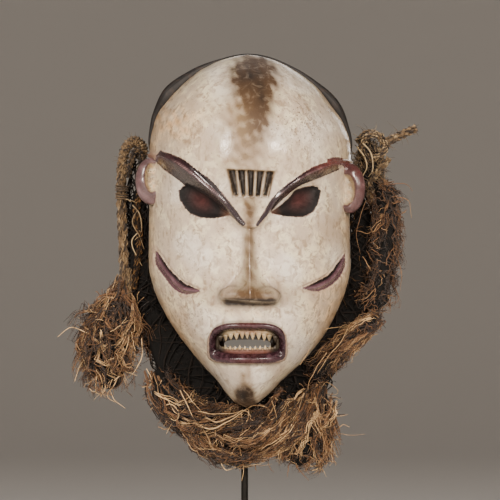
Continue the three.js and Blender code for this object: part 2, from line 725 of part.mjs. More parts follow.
// The rod, its fork with two hooks that carry the forehead from inside, and the stop under the chin.
function standRod(grow = 0) {
  const d = RIM_Y - ROD_Y;
  const arm = (side) => {
    const u = side * FORK.hookOut;
    const roof = roofHeight(u, FORK.hookDepth) - ARM_RADIUS - FORK.roofGap;
    const hook = [[side * 40, 222, d + 3], [side * 36, 240, 16], [u, roof - 7, 34], [u, roof, FORK.hookDepth - 2]];
    return [[0, FORK.foot, d], ...ARM_PATH.map(([out, up]) => [side * out, up, d]), ...hook];
  };
  const { width, reach, height } = CHIN_STOP;
  const stop = new THREE.BoxGeometry(width + 2 * grow, reach + 2 * grow, height + 2 * grow);
  stop.translate(0, ROD_Y - CHIN_STOP.reach / 2, CHIN_Z - GAP - CHIN_STOP.height / 2);
  return joined([
    upright(ROD_RADIUS + grow, FOOT.thick, CHIN_Z + FORK.foot + ROD_RADIUS),
    upright(WELD.radius + grow, FOOT.thick, FOOT.thick + WELD.height),
    tube(arm(-1), ARM_RADIUS + grow, FORK.steps),
    tube(arm(1), ARM_RADIUS + grow, FORK.steps),
    solid(stop),
  ]);
}

function standFoot() {
  const half = FOOT.side / 2 - FOOT.bevel;
  const corners = [[-half, -half], [half, -half], [half, half], [-half, half]];
  const shape = new THREE.Shape(corners.map((corner) => new THREE.Vector2(...corner)));
  const geometry = new THREE.ExtrudeGeometry(shape, {
    depth: FOOT.thick - 2 * FOOT.bevel, bevelThickness: FOOT.bevel, bevelSize: FOOT.bevel, bevelSegments: 1,
  });
  geometry.translate(0, 0, FOOT.bevel);
  return solid(geometry);
}

// Scene graph

function meshOf(name, made, paint) {
  const { vertProperties, triVerts, numProp } = made.getMesh();
  const flat = new Float32Array(triVerts.length * 3);
  triVerts.forEach((vertex, k) => flat.set(vertProperties.subarray(vertex * numProp, vertex * numProp + 3), k * 3));
  const geometry = new THREE.BufferGeometry().setAttribute("position", new THREE.BufferAttribute(flat, 3));
  geometry.computeVertexNormals();
  const mesh = new THREE.Mesh(geometry, new THREE.MeshStandardMaterial(paint));
  mesh.name = name;
  return mesh;
}

const part = new THREE.Group();
part.add(meshOf("mask", maskSolid(), PAINT.kaolin));
part.add(meshOf("stand_rod", standRod(), PAINT.steel));
part.add(meshOf("stand_foot", standFoot(), PAINT.steel));
for (const [name, made] of Object.entries(raffiaSolids(standRod(GAP)))) {
  const paint = name === "net_collar" ? PAINT.net : name.startsWith("rope") ? PAINT.rope : PAINT.raffia;
  part.add(meshOf(name, made, paint));
}

export default part;
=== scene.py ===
"""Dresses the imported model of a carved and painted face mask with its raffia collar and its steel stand.

Places on the mask are (u, v, d) in millimetres: u to the right of the rod, v above the chin tip and d in
front of the rim. Finished meshes are in metres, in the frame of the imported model.
"""

from __future__ import annotations

import itertools
import logging
import math
from collections.abc import Callable
from dataclasses import dataclass, field
from enum import Enum

import bmesh
import bpy
import numpy as np
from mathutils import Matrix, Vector

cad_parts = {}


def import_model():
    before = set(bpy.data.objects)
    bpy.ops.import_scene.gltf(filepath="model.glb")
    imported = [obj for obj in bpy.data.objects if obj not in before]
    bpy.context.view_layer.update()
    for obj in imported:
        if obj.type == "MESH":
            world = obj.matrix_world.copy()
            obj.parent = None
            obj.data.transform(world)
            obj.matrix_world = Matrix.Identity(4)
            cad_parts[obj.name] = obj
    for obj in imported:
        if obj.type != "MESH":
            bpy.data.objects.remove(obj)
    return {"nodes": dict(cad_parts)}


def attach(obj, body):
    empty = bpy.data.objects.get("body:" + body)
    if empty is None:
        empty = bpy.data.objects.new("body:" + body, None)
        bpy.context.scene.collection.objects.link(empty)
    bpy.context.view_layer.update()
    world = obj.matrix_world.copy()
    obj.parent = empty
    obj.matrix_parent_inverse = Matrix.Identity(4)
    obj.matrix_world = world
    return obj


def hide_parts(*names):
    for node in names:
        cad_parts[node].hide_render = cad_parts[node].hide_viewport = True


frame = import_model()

log = logging.getLogger("mask")
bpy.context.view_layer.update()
MM = 0.001

# Placing, as in the part's source
CHIN_Z = 190.0
RIM_Y = 24.0
HEAD_HEIGHT = 300.0
MIDDLE_U = 4.0
MIDDLE_V = 150.0
RIM_WALL = 8.0
SIDE_POWER = 2.2

# Tool marks in the hollow, and how far from its wall the paint ends
SCOOP_LENGTH = 17
SCOOP_DEPTH = 0.9
PAINT_DEPTH = 3.5

# Short names for types
Array = np.ndarray
Random = np.random.Generator
BMesh = bmesh.types.BMesh
BMEdge = bmesh.types.BMEdge
BMVert = bmesh.types.BMVert
Material = bpy.types.Material
Object = bpy.types.Object
Socket = bpy.types.NodeSocket
Pair = tuple[float, float]
Places = list[tuple[float, ...]]


def world(u: Array, v: Array, d: Array) -> Array:
    """Turns u, v and d into rows of metres."""
    return np.stack(np.broadcast_arrays(u, RIM_Y - d, CHIN_Z + v), axis=-1) * MM


def lerp(start: Array, end: Array, share: Array) -> Array:
    """Returns the value a share of the way from start to end."""
    return start + (end - start) * share


def ramp(low: float, high: float, value: Array) -> Array:
    """Returns a smooth rise from 0 at low to 1 at high."""
    t = np.clip((value - low) / (high - low), 0, 1)
    return t * t * (3 - 2 * t)


def peak(value: Array, middle: float, width: float) -> Array:
    """Returns a soft peak that is 1 at its middle and fades over its width."""
    return np.exp(-(((value - middle) / width) ** 2))


def blob(u: Array, v: Array, at: Pair, size: Pair) -> Array:
    """Returns a soft patch that is 1 at its middle and fades over its half sizes."""
    return np.exp(-(((u - at[0]) / size[0]) ** 2) - ((v - at[1]) / size[1]) ** 2)


def blobs(u: Array, v: Array, *patches: tuple[float, Pair, Pair]) -> Array:
    """Returns the sum of soft patches, each given as its strength, its middle and its half sizes."""
    return sum(strength * blob(u, v, at, size) for strength, at, size in patches)


def unit(rows: Array) -> Array:
    """Returns rows scaled to a length of 1."""
    return rows / np.maximum(np.linalg.norm(rows, axis=1, keepdims=True), 1e-6)


class Stations:
    """A smooth line through stations that never overshoots them."""

    def __init__(self, stations: Places, rounded: bool = False) -> None:
        """Fits the line.

        Args:
            stations: [place, value] pairs in rising order of place.
            rounded: Whether the value closes like a circle at its ends, so that its square runs smoothly.
        """
        self.places = np.array([place for place, _ in stations], float)
        values = np.array([value for _, value in stations], float)
        self.rounded = rounded
        self.values = values**2 if rounded else values
        steps = np.diff(self.values) / np.diff(self.places)
        product = steps[:-1] * steps[1:]
        total = np.where(product > 0, steps[:-1] + steps[1:], 1)
        inner = np.where(product > 0, 2 * product / total, 0)
        self.slopes = np.concatenate([steps[:1], inner, steps[-1:]])

    def __call__(self, place: Array) -> Array:
        """Returns the line's value at each place."""
        x = np.clip(place, self.places[0], self.places[-1])
        i = np.clip(np.searchsorted(self.places, x) - 1, 0, len(self.places) - 2)
        run = self.places[i + 1] - self.places[i]
        t = (x - self.places[i]) / run
        rise = t * t * (3 - 2 * t)
        bend = t * (1 - t) * run * ((1 - t) * self.slopes[i] - t * self.slopes[i + 1])
        value = self.values[i] * (1 - rise) + self.values[i + 1] * rise + bend
        return np.sqrt(np.maximum(0, value)) if self.rounded else value


class Route:
    """A smooth curve through places, read from 0 to 1."""

    STEPS = 240

    def __init__(self, places: Places) -> None:
        """Fits the curve to (u, v) or (u, v, d) places."""
        points = np.array([(*place, 0.0)[:3] for place in places], float)
        before = 2 * points[0] - points[1]
        after = 2 * points[-1] - points[-2]
        points = np.vstack([before, points, after])
        gaps = np.sqrt(np.linalg.norm(np.diff(points, axis=0), axis=1))
        knots = np.concatenate([[0], np.cumsum(np.maximum(gaps, 1e-6))])
        samples = []
        for i in range(1, len(points) - 2):
            share = np.linspace(0, 1, self.STEPS // (len(points) - 3) + 2)[:-1, None]
            t = lerp(knots[i], knots[i + 1], share)
            samples.append(self.bend(points[i - 1 : i + 3], knots[i - 1 : i + 3], t))
        samples.append(points[-2:-1])
        self.samples = np.vstack(samples)

    @staticmethod
    def bend(p: Array, k: Array, t: Array) -> Array:
        """Returns points of the curve between the middle two of four places p at knots k."""

        def between(low: Array, high: Array, i: int, j: int) -> Array:
            """Returns the blend of two places from knot i to knot j."""
            return low * (k[j] - t) / (k[j] - k[i]) + high * (t - k[i]) / (k[j] - k[i])

        a = [between(p[j], p[j + 1], j, j + 1) for j in range(3)]
        b = [between(a[j], a[j + 1], j, j + 2) for j in range(2)]
        return between(b[0], b[1], 1, 2)

    def __call__(self, share: Array) -> Array:
        """Returns the (u, v, d) places at the given shares of the curve."""
        at = np.clip(share, 0, 1) * (len(self.samples) - 1)
        grid = np.arange(len(self.samples))
        return np.stack([np.interp(at, grid, self.samples[:, axis]) for axis in range(3)], axis=-1)

    @property
    def length(self) -> float:
        """The curve's length in millimetres."""
        return float(np.linalg.norm(np.diff(self.samples, axis=0), axis=1).sum())


class Band:
    """A strip of the face between two edge lines, such as a brow, an eye or a cut."""

    def __init__(self, upper: Places, lower: Places, reach: float = 14.0) -> None:
        """Samples the strip.

        Args:
            upper: Places of the edge at a = 0.
            lower: Places of the edge at a = 1, running the same way.
            reach: How far outside the strip it is still read, in millimetres.
        """
        share = np.linspace(0, 1, 220)
        self.share = share
        self.upper = Route(upper)(share)[:, :2]
        self.lower = Route(lower)(share)[:, :2]
        self.middle = (self.upper + self.lower) / 2
        self.reach = reach

    def read(self, u: Array, v: Array) -> tuple[Array, Array, Array]:
        """Finds where points lie on the strip.

        Args:
            u: The points' u.
            v: The points' v.

        Returns:
            The share along the strip, the share across it, and how far inside its edge each point is, in
            millimetres; a point out of reach says -reach.
        """
        along = np.zeros_like(u)
        across = np.full_like(u, -1.0)
        inside = np.full_like(u, -self.reach)
        low = np.minimum(self.upper.min(0), self.lower.min(0)) - self.reach
        high = np.maximum(self.upper.max(0), self.lower.max(0)) + self.reach
        near = np.flatnonzero((u > low[0]) & (u < high[0]) & (v > low[1]) & (v < high[1]))
        points = np.stack([u[near], v[near]], axis=-1)
        gaps = np.linalg.norm(points[:, None] - self.middle[None], axis=2)
        best = gaps.argmin(1)
        span = self.lower[best] - self.upper[best]
        width = np.maximum(np.linalg.norm(span, axis=1), 1e-3)
        a = ((points - self.upper[best]) * span).sum(1) / width**2
        depth = np.minimum(a, 1 - a) * width
        past = (best == 0) | (best == len(self.share) - 1)
        depth = np.where(past, np.minimum(depth, -gaps[np.arange(len(near)), best]), depth)
        along[near] = self.share[best]
        across[near] = a
        inside[near] = np.maximum(depth, -self.reach)
        return along, across, inside


class HeadForm:
    """The head's smooth form: its outline, its two domes and the hollow behind them."""

    half_width = Stations([
        (0, 0), (19, 25.4), (39, 44.8), (59, 61.3), (80, 73.7), (100, 82.4), (121, 86.6),
        (160, 86), (221, 86.2), (242, 81.5), (262, 68.9), (282, 48.4), (HEAD_HEIGHT, 0),
    ], rounded=True)
    centre = Stations([
        (0, 1.5), (50, 6), (90, 4.8), (150, 4), (220, 4.8), (260, 2.4), (HEAD_HEIGHT, 2.8),
    ])
    face = Stations([
        (0, 46), (6, 64), (20, 79), (40, 88), (60, 95), (90, 94), (130, 95), (165, 99),
        (200, 101), (240, 98), (270, 80), (290, 54), (HEAD_HEIGHT, 22),
    ], rounded=True)
    forehead = Stations([
        (140, 98), (165, 106), (185, 114), (210, 118), (240, 112), (270, 92), (290, 63), (HEAD_HEIGHT, 25),
    ], rounded=True)
    cavity = Stations([
        (0, 34), (20, 66), (60, 82), (100, 81), (150, 80), (178, 81), (205, 94),
        (235, 95), (265, 77), (285, 50), (HEAD_HEIGHT, 14),
    ], rounded=True)

    def __init__(self) -> None:
        """Measures the outline in every direction."""
        self.angles = np.linspace(-math.pi, math.pi, 721)
        inside = np.full_like(self.angles, 20.0)
        outside = np.full_like(self.angles, 200.0)
        for _ in range(30):
            reach = (inside + outside) / 2
            u, v = self.around(self.angles, reach)
            within = (v > 0) & (v < HEAD_HEIGHT) & (abs(u - self.centre(v)) < self.half_width(v))
            inside = np.where(within, reach, inside)
            outside = np.where(within, outside, reach)
        self.reaches = inside

    def reach(self, angle: Array) -> Array:
        """Returns the distance from the middle of the face to the outline at each angle."""
        return np.interp(angle, self.angles, self.reaches)

    def polar(self, u: Array, v: Array) -> tuple[Array, Array]:
        """Returns the angle and the distance of places from the middle of the face."""
        return np.arctan2(v - MIDDLE_V, u - MIDDLE_U), np.hypot(u - MIDDLE_U, v - MIDDLE_V)

    @staticmethod
    def around(angle: Array, distance: Array) -> tuple[Array, Array]:
        """Returns the u and v at an angle and a distance from the middle of the face."""
        return MIDDLE_U + distance * np.cos(angle), MIDDLE_V + distance * np.sin(angle)

    @staticmethod
    def spread(u: Array, v: Array, factor: Array) -> tuple[Array, Array]:
        """Returns the u and v a factor further from the middle of the face."""
        return MIDDLE_U + (u - MIDDLE_U) * factor, MIDDLE_V + (v - MIDDLE_V) * factor

    def dome(self, u: Array, v: Array, depths: Stations) -> Array:
        """Returns how far in front of the rim a dome stands at (u, v)."""
        across = np.minimum(1, abs(u - self.centre(v)) / np.maximum(self.half_width(v), 1e-3))
        return depths(v) * np.sqrt(1 - across**SIDE_POWER)

    def hollow(self, u: Array, v: Array) -> Array:
        """Returns how deep the hollow inside the mask reaches at (u, v)."""
        reach = self.reach(self.polar(u, v)[0])
        return self.dome(*self.spread(u, v, reach / (reach - RIM_WALL)), self.cavity)

    def lifted(self, u: Array, v: Array, lift: Array, depths: Stations | None = None) -> Array:
        """Lifts places off a dome along its normal.

        Args:
            u: Places' u.
            v: Places' v.
            lift: Millimetres outwards.
            depths: The dome's depth line, the face's if none is given.

        Returns:
            The (u, v, d) places, one row each.
        """
        depths = depths or self.face
        step = 0.5
        slope_u = (self.dome(u + step, v, depths) - self.dome(u - step, v, depths)) / (2 * step)
        slope_v = (self.dome(u, v + step, depths) - self.dome(u, v - step, depths)) / (2 * step)
        size = np.sqrt(slope_u**2 + slope_v**2 + 1)
        out = self.dome(u, v, depths) + lift / size
        return np.stack([u - slope_u / size * lift, v - slope_v / size * lift, out], axis=-1)

    def keep_out(self, places: Array, gap: float = 1.0) -> Array:
        """Moves (u, v, d) rows that lie inside the head straight outwards, to a gap off its outline."""
        u, v, d = places[..., 0], places[..., 1], places[..., 2]
        angle, distance = self.polar(u, v)
        reach = self.reach(angle) + gap
        inside = (distance < reach) & (d < self.dome(u, v, self.forehead) + gap)
        share = np.where(inside, reach / np.maximum(distance, 1), 1)
        return np.stack([*self.spread(u, v, share), d], axis=-1)


FORM = HeadForm()


# Meshes


def linked(name: str, data: bpy.types.ID) -> Object:
    """Makes an object of some data and links it to the scene."""
    obj = bpy.data.objects.new(name, data)
    bpy.context.scene.collection.objects.link(obj)
    return obj


def into(mesh: bpy.types.Mesh, bm: BMesh) -> None:
    """Writes a bmesh into a mesh, shades it smooth and frees the bmesh."""
    bm.to_mesh(mesh)
    bm.free()
    mesh.polygons.foreach_set("use_smooth", [True] * len(mesh.polygons))


def finished(name: str, bm: BMesh) -> Object:
    """Turns a bmesh into a linked object, and frees it."""
    mesh = bpy.data.meshes.new(name)
    into(mesh, bm)
    return linked(name, mesh)


def final_mesh(obj: Object) -> bpy.types.Mesh:
    """Returns a new mesh of an object as its modifiers or its curve settings make it."""
    return bpy.data.meshes.new_from_object(obj.evaluated_get(bpy.context.evaluated_depsgraph_get()))


def rows_of(verts: list[BMVert]) -> Array:
    """Returns the places of vertices as rows."""
    return np.array([vertex.co[:] for vertex in verts])


def put(verts: list[BMVert], points: Array) -> None:
    """Moves vertices to the points of as many rows."""
    for vertex, point in zip(verts, points):
        vertex.co = point


def open_edges(bm: BMesh) -> list[BMEdge]:
    """Returns the edges at a mesh's rim."""
    return [edge for edge in bm.edges if len(edge.link_faces) == 1]


def extruded(bm: BMesh, edges: list[BMEdge]) -> tuple[list, list]:
    """Extrudes edges in place and returns the new edges and the new vertices."""
    made = bmesh.ops.extrude_edge_only(bm, edges=edges)["geom"]
    kinds = (BMEdge, BMVert)
    return tuple([item for item in made if isinstance(item, kind)] for kind in kinds)


def points_of(mesh: bpy.types.Mesh) -> Array:
    """Returns a mesh's vertices as rows of metres."""
    flat = np.empty(len(mesh.vertices) * 3, np.float32)
    mesh.vertices.foreach_get("co", flat)
    return flat.reshape(-1, 3).astype(float)


def places_of(mesh: bpy.types.Mesh) -> tuple[Array, Array, Array]:
    """Returns a finished mesh's vertices as u, v and d."""
    points = points_of(mesh) / MM
    return points[:, 0], points[:, 2] - CHIN_Z, RIM_Y - points[:, 1]


def paint(obj: Object, name: str, values: Array) -> None:
    """Stores one number a vertex on a piece, which its material reads."""
    layer = obj.data.attributes.new(name, "FLOAT", "POINT")
    layer.data.foreach_set("value", np.ascontiguousarray(values, np.float32))


def paint_colours(obj: Object, name: str, layers: list[tuple[str, Array | float]]) -> None:
    """Stores one colour a vertex on a piece, which its material reads.

    Args:
        obj: The piece.
        name: The stored colour's name; its alpha says how much of a place the layers cover.
        layers: Hex colours with their share over what lies below them, the first one lowest.
    """
    made = np.zeros((len(obj.data.vertices), 4))
    for code, share in layers:
        cover = np.clip(np.broadcast_to(share, len(made)), 0, 1)[:, None]
        made = lerp(made, np.array(linear(code)), cover)
    made[:, :3] /= np.maximum(made[:, 3:], 1e-4)
    layer = obj.data.attributes.new(name, "FLOAT_COLOR", "POINT")
    layer.data.foreach_set("color", np.ascontiguousarray(made.ravel(), np.float32))


def grid(along: int, across: int) -> tuple[BMesh, Array, Array]:
    """Makes a grid of quads and returns it with its vertices' s and t, from 0 to 1."""
    bm = bmesh.new()
    bmesh.ops.create_grid(bm, x_segments=along, y_segments=across, size=1)
    flat = rows_of(bm.verts)
    return bm, (flat[:, 0] + 1) / 2, (flat[:, 1] + 1) / 2


def close_up(bm: BMesh, points: Array, gap: float = 2e-6) -> None:
    """Puts a grid's vertices in place, merges those that meet and turns the faces outwards."""
    put(bm.verts, points)
    bmesh.ops.remove_doubles(bm, verts=bm.verts[:], dist=gap)
    bmesh.ops.recalc_face_normals(bm, faces=bm.faces[:])


def swept(name: str, along: int, across: int, place: Callable[[Array, Array], Array]) -> Object:
    """Makes a closed piece from a grid whose edges meet once place gives its s and t their metres."""
    bm, s, t = grid(along, across)
    close_up(bm, place(s, t))
    return finished(name, bm)


def ripple(u: Array, v: Array, size: float, seed: int) -> Array:
    """Returns a gentle random swell from about -1 to 1 with waves of the given size in millimetres."""
    rng = np.random.default_rng(seed)
    total = np.zeros_like(u)
    for _ in range(7):
        angle = rng.uniform(0, math.tau)
        wave = math.tau / (size * rng.uniform(0.7, 1.5))
        total += np.sin((u * math.cos(angle) + v * math.sin(angle)) * wave + rng.uniform(0, math.tau))
    return total / 4


# Finishes

Value = float | str | tuple | Socket
SMOOTH = {"interpolation_type": "SMOOTHSTEP"}
COLOUR = {"data_type": "RGBA", "out": 2}


def linear(code: str) -> tuple[float, float, float, float]:
    """Turns an sRGB hex colour into linear RGBA."""
    parts = [int(code[i : i + 2], 16) / 255 for i in (1, 3, 5)]
    rgb = [c / 12.92 if c <= 0.04045 else ((c + 0.055) / 1.055) ** 2.4 for c in parts]
    return (*rgb, 1.0)


def per_mm(size: float) -> float:
    """Returns the pattern scale at which one feature is about size millimetres."""
    return 1 / (size * MM)


class Finish:
    """A material with one Principled shader and the nodes that feed it."""

    def __init__(self, name: str) -> None:
        """Starts the material under its name."""
        self.material = bpy.data.materials.new(name)
        self.material.use_nodes = True
        self.tree = self.material.node_tree
        self.shader = self.tree.nodes["Principled BSDF"]
        self.place = self.add("TexCoord", out="Object")

    def add(self, kind: str, *values: Value, out: int | str = 0, **settings: object) -> Socket:
        """Adds one node with its settings and links.

        Args:
            kind: The node's type without its ShaderNode prefix.
            values: What its first sockets get, in order, or one dict of them by name or number.
            out: The output to return.
            settings: The node's own settings.

        Returns:
            The chosen output.
        """
        node = self.tree.nodes.new("ShaderNode" + kind)
        for key, value in settings.items():
            setattr(node, key, value)
        self.fill(node, values[0] if values and isinstance(values[0], dict) else dict(enumerate(values)))
        return node.outputs[out]

    def fill(self, node: bpy.types.Node, sockets: dict[int | str, Value]) -> None:
        """Gives a node's sockets their numbers, hex colours or links."""
        for key, value in sockets.items():
            if isinstance(value, Socket):
                self.tree.links.new(value, node.inputs[key])
            else:
                node.inputs[key].default_value = linear(value) if isinstance(value, str) else value


class Coating:
    """A real material that dresses its pieces through one shader."""

    name: str

    def sockets(self, f: Finish) -> dict[str, Value]:
        """Lays the material's nodes and returns what the shader's sockets get."""
        raise NotImplementedError

    def material(self) -> Material:
        """Builds the material."""
        f = Finish(self.name)
        f.fill(f.shader, self.sockets(f))
        return f.material


@dataclass(frozen=True)
class RubbedKaolin(Coating):
    """White clay and plum paint rubbed smooth on wood: creamy, half glossy, cloudy, pitted and worn.

    The stored colours lay out the clay, its stains and painted shade, and the paint with its painted
    highlights; the nodes break them up as brushing, handling and age do.
    """

    name: str = "rubbed_kaolin_and_plum_paint"
    ochre: str = "#A79373"
    chalk: str = "#FFF6EA"
    pit: str = "#4E3B29"
    rubbed: str = "#B99A92"
    cloud: float = 22.0
    mottle: float = 7.0
    grain: float = 1.5
    streak: float = 8.0

    def sockets(self, f: Finish) -> dict[str, Value]:
        """Reads the piece's clay, dirt and paint colours, the dirt holding painted shade too, and its plum,
        speckle and gloss numbers.
        """
        upright = f.add("Mapping", {"Vector": f.place, "Scale": (1.6, 1.6, 0.4)})
        names = ("Vector", "Scale", "Detail", "Roughness", "Distortion")
        cloud, mottle, grain, streak = (
            f.add("TexNoise", dict(zip(names, values)))
            for values in (
                (f.place, per_mm(self.cloud), 5.0, 0.6, 0.6),
                (f.place, per_mm(self.mottle), 6.0, 0.66, 1.1),
                (f.place, per_mm(self.grain), 3.0),
                (upright, per_mm(self.streak), 4.0, 0.6),
            )
        )
        clay, dirt, paint = (
            f.add("Attribute", out="Color", attribute_name=name) for name in ("clay", "dirt", "paint")
        )
        speckle, plum, gloss = (
            f.add("Attribute", out="Fac", attribute_name=name) for name in ("speckle", "plum", "gloss")
        )
        chalky = f.add("MapRange", cloud, 0.4, 0.6, 0.0, 0.6, **SMOOTH)
        chalky = f.add("Math", chalky, f.add("MapRange", mottle, 0.4, 0.56, **SMOOTH), operation="MULTIPLY")
        clay = f.add("Mix", {0: chalky, 6: clay, 7: self.chalk}, blend_type="OVERLAY", **COLOUR)
        veined = f.add("MapRange", mottle, 0.56, 0.38, 0.0, 0.55, **SMOOTH)
        veined = f.add("Math", veined, f.add("MapRange", streak, 0.38, 0.62, **SMOOTH), operation="MULTIPLY")
        clay = f.add("Mix", {0: veined, 6: clay, 7: self.ochre}, blend_type="MULTIPLY", **COLOUR)
        # How much the dirt colour covers, stains and painted shade alike
        dirt_and_shade_cover = f.add("Attribute", out="Alpha", attribute_name="dirt")
        uneven = f.add("MapRange", mottle, 0.3, 0.7, 0.8, 1.3)
        dirt_and_shade_cover = f.add("Math", dirt_and_shade_cover, uneven, operation="MULTIPLY", use_clamp=True)
        clay = f.add("Mix", {0: dirt_and_shade_cover, 6: clay, 7: dirt}, **COLOUR)
        few = f.add("MapRange", speckle, 0.0, 1.0, 0.71, 0.57)
        pits = f.add("Math", grain, few, operation="SUBTRACT")
        pits = f.add("MapRange", pits, 0.0, 0.04, 0.0, 0.85, **SMOOTH)
        clay = f.add("Mix", {0: pits, 6: clay, 7: self.pit}, **COLOUR)
        ragged = f.add("Math", grain, 0.5, operation="SUBTRACT")
        ragged = f.add("Math", ragged, 1.7, plum, operation="MULTIPLY_ADD")
        painted = f.add("MapRange", ragged, -0.22, 0.22, **SMOOTH)
        streaky = f.add("MapRange", mottle, 0.36, 0.62, 0.0, 0.6, **SMOOTH)
        deeper = f.add("Mix", {0: 1.0, 6: paint, 7: "#8F7F80"}, blend_type="MULTIPLY", **COLOUR)
        paint = f.add("Mix", {0: streaky, 6: paint, 7: deeper}, **COLOUR)
        worn = f.add("MapRange", ragged, 1.0, 0.1, **SMOOTH)
        thin = f.add("MapRange", mottle, 0.42, 0.6, 0.0, 0.55, **SMOOTH)
        worn = f.add("Math", worn, thin, operation="MULTIPLY")
        paint = f.add("Mix", {0: worn, 6: paint, 7: self.rubbed}, **COLOUR)
        colour = f.add("Mix", {0: painted, 6: clay, 7: paint}, **COLOUR)
        rough = f.add("MapRange", mottle, 0.35, 0.65, 0.27, 0.46)
        rough = f.add("Math", rough, gloss, operation="SUBTRACT")
        shine = f.add("MapRange", gloss, -0.2, 0.0, 0.0, 0.6)
        brushed = f.add("Bump", {"Height": streak, "Distance": 0.25 * MM})
        sunk = f.add("Math", pits, -1.0, operation="MULTIPLY")
        skin = f.add("Math", grain, 0.45, sunk, operation="MULTIPLY_ADD")
        pitted = f.add("Bump", {"Height": skin, "Distance": 0.16 * MM, "Normal": brushed})
        layered = f.add("Bump", {"Height": painted, "Distance": 0.16 * MM, "Normal": pitted})
        return {
            "Base Color": colour, "Roughness": rough, "Normal": layered, "IOR": 1.5,
            "Coat Weight": shine, "Coat Roughness": 0.17, "Coat Normal": layered,
        }


@dataclass(frozen=True)
class AdzedWood(Coating):
    """Bare light wood darkened by wear inside the mask: dull brown with long grain and dark sweat patches."""

    name: str = "worn_bare_wood"
    wood: str = "#8A6743"
    grain: str = "#5B3E26"
    dark: str = "#33231A"

    def sockets(self, f: Finish) -> dict[str, Value]:
        """Lays the nodes and returns what the shader gets."""
        upright = f.add("Mapping", {"Vector": f.place, "Scale": (1.0, 1.0, 0.08)})
        grain = f.add("TexNoise", {"Vector": upright, "Scale": per_mm(2.2), "Detail": 4.0, "Roughness": 0.6})
        patch = f.add("TexNoise", {"Vector": f.place, "Scale": per_mm(38.0), "Detail": 3.0})
        lines = f.add("MapRange", grain, 0.4, 0.66, **SMOOTH)
        colour = f.add("Mix", {0: lines, 6: self.wood, 7: self.grain}, **COLOUR)
        sweat = f.add("MapRange", patch, 0.42, 0.7, 0.0, 0.75, **SMOOTH)
        colour = f.add("Mix", {0: sweat, 6: colour, 7: self.dark}, **COLOUR)
        rough = f.add("MapRange", grain, 0.0, 1.0, 0.55, 0.8)
        normal = f.add("Bump", {"Height": grain, "Distance": 0.35 * MM})
        return {"Base Color": colour, "Roughness": rough, "Normal": normal, "IOR": 1.5}


@dataclass(frozen=True)
class LipPaint(Coating):
    """Thick plum paint on the lips: wet gloss over brush marks, redder at the middle, clay at its edges."""

    name: str = "plum_lip_paint"
    pale: str = "#6E4C56"

    def sockets(self, f: Finish) -> dict[str, Value]:
        """Reads the piece's own colour."""
        blots = {"Vector": f.place, "Scale": per_mm(4.5), "Detail": 5.0, "Roughness": 0.64}
        mottle = f.add("TexNoise", blots)
        fine = f.add("TexNoise", {"Vector": f.place, "Scale": per_mm(1.3), "Detail": 3.0})
        colour = f.add("Attribute", out="Color", attribute_name="paint")
        thin = f.add("MapRange", mottle, 0.5, 0.72, 0.0, 0.5, **SMOOTH)
        colour = f.add("Mix", {0: thin, 6: colour, 7: self.pale}, **COLOUR)
        rough = f.add("MapRange", mottle, 0.3, 0.7, 0.2, 0.36)
        lumps = f.add("Bump", {"Height": mottle, "Distance": 0.5 * MM})
        normal = f.add("Bump", {"Height": fine, "Distance": 0.14 * MM, "Normal": lumps})
        return {"Base Color": colour, "Roughness": rough, "Normal": normal, "IOR": 1.5, "Coat Weight": 0.3}


@dataclass(frozen=True)
class OldIvoryPaint(Coating):
    """Clay-white paint on the teeth and gums: yellowed and chipped, with grime settled in its hollows."""

    name: str = "yellowed_tooth_paint"
    grime: str = "#2A1C14"
    yellow: str = "#C9AA78"

    def sockets(self, f: Finish) -> dict[str, Value]:
        """Reads the piece's own colour."""
        blots = {"Vector": f.place, "Scale": per_mm(2.6), "Detail": 4.0, "Roughness": 0.62}
        mottle = f.add("TexNoise", blots)
        colour = f.add("Attribute", out="Color", attribute_name="paint")
        aged = f.add("MapRange", mottle, 0.46, 0.66, 0.0, 0.6, **SMOOTH)
        colour = f.add("Mix", {0: aged, 6: colour, 7: self.yellow}, blend_type="MULTIPLY", **COLOUR)
        dirt = f.add("MapRange", mottle, 0.4, 0.3, 0.0, 0.5, **SMOOTH)
        colour = f.add("Mix", {0: dirt, 6: colour, 7: self.grime}, **COLOUR)
        rough = f.add("MapRange", mottle, 0.3, 0.7, 0.3, 0.5)
        normal = f.add("Bump", {"Height": mottle, "Distance": 0.25 * MM})
        return {"Base Color": colour, "Roughness": rough, "Normal": normal, "IOR": 1.5}


@dataclass(frozen=True)
class BlackenedHair(Coating):
    """The carved hair band: matt black-brown with fine combed lines and brown rubbed high spots."""

    name: str = "blackened_hair_band"
    black: str = "#0F0B0A"
    brown: str = "#33261E"

    def sockets(self, f: Finish) -> dict[str, Value]:
        """Reads the piece's comb number."""
        mottle = f.add("TexNoise", {"Vector": f.place, "Scale": per_mm(7.0), "Detail": 4.0, "Roughness": 0.6})
        comb = f.add("Attribute", out="Fac", attribute_name="comb")
        rubbed = f.add("MapRange", comb, 0.5, 1.0, 0.0, 0.8, **SMOOTH)
        rubbed = f.add("Math", rubbed, f.add("MapRange", mottle, 0.4, 0.65, **SMOOTH), operation="MULTIPLY")
        colour = f.add("Mix", {0: rubbed, 6: self.black, 7: self.brown}, **COLOUR)
        rough = f.add("MapRange", mottle, 0.0, 1.0, 0.5, 0.75)
        normal = f.add("Bump", {"Height": mottle, "Distance": 0.3 * MM})
        return {"Base Color": colour, "Roughness": rough, "Normal": normal, "IOR": 1.5}


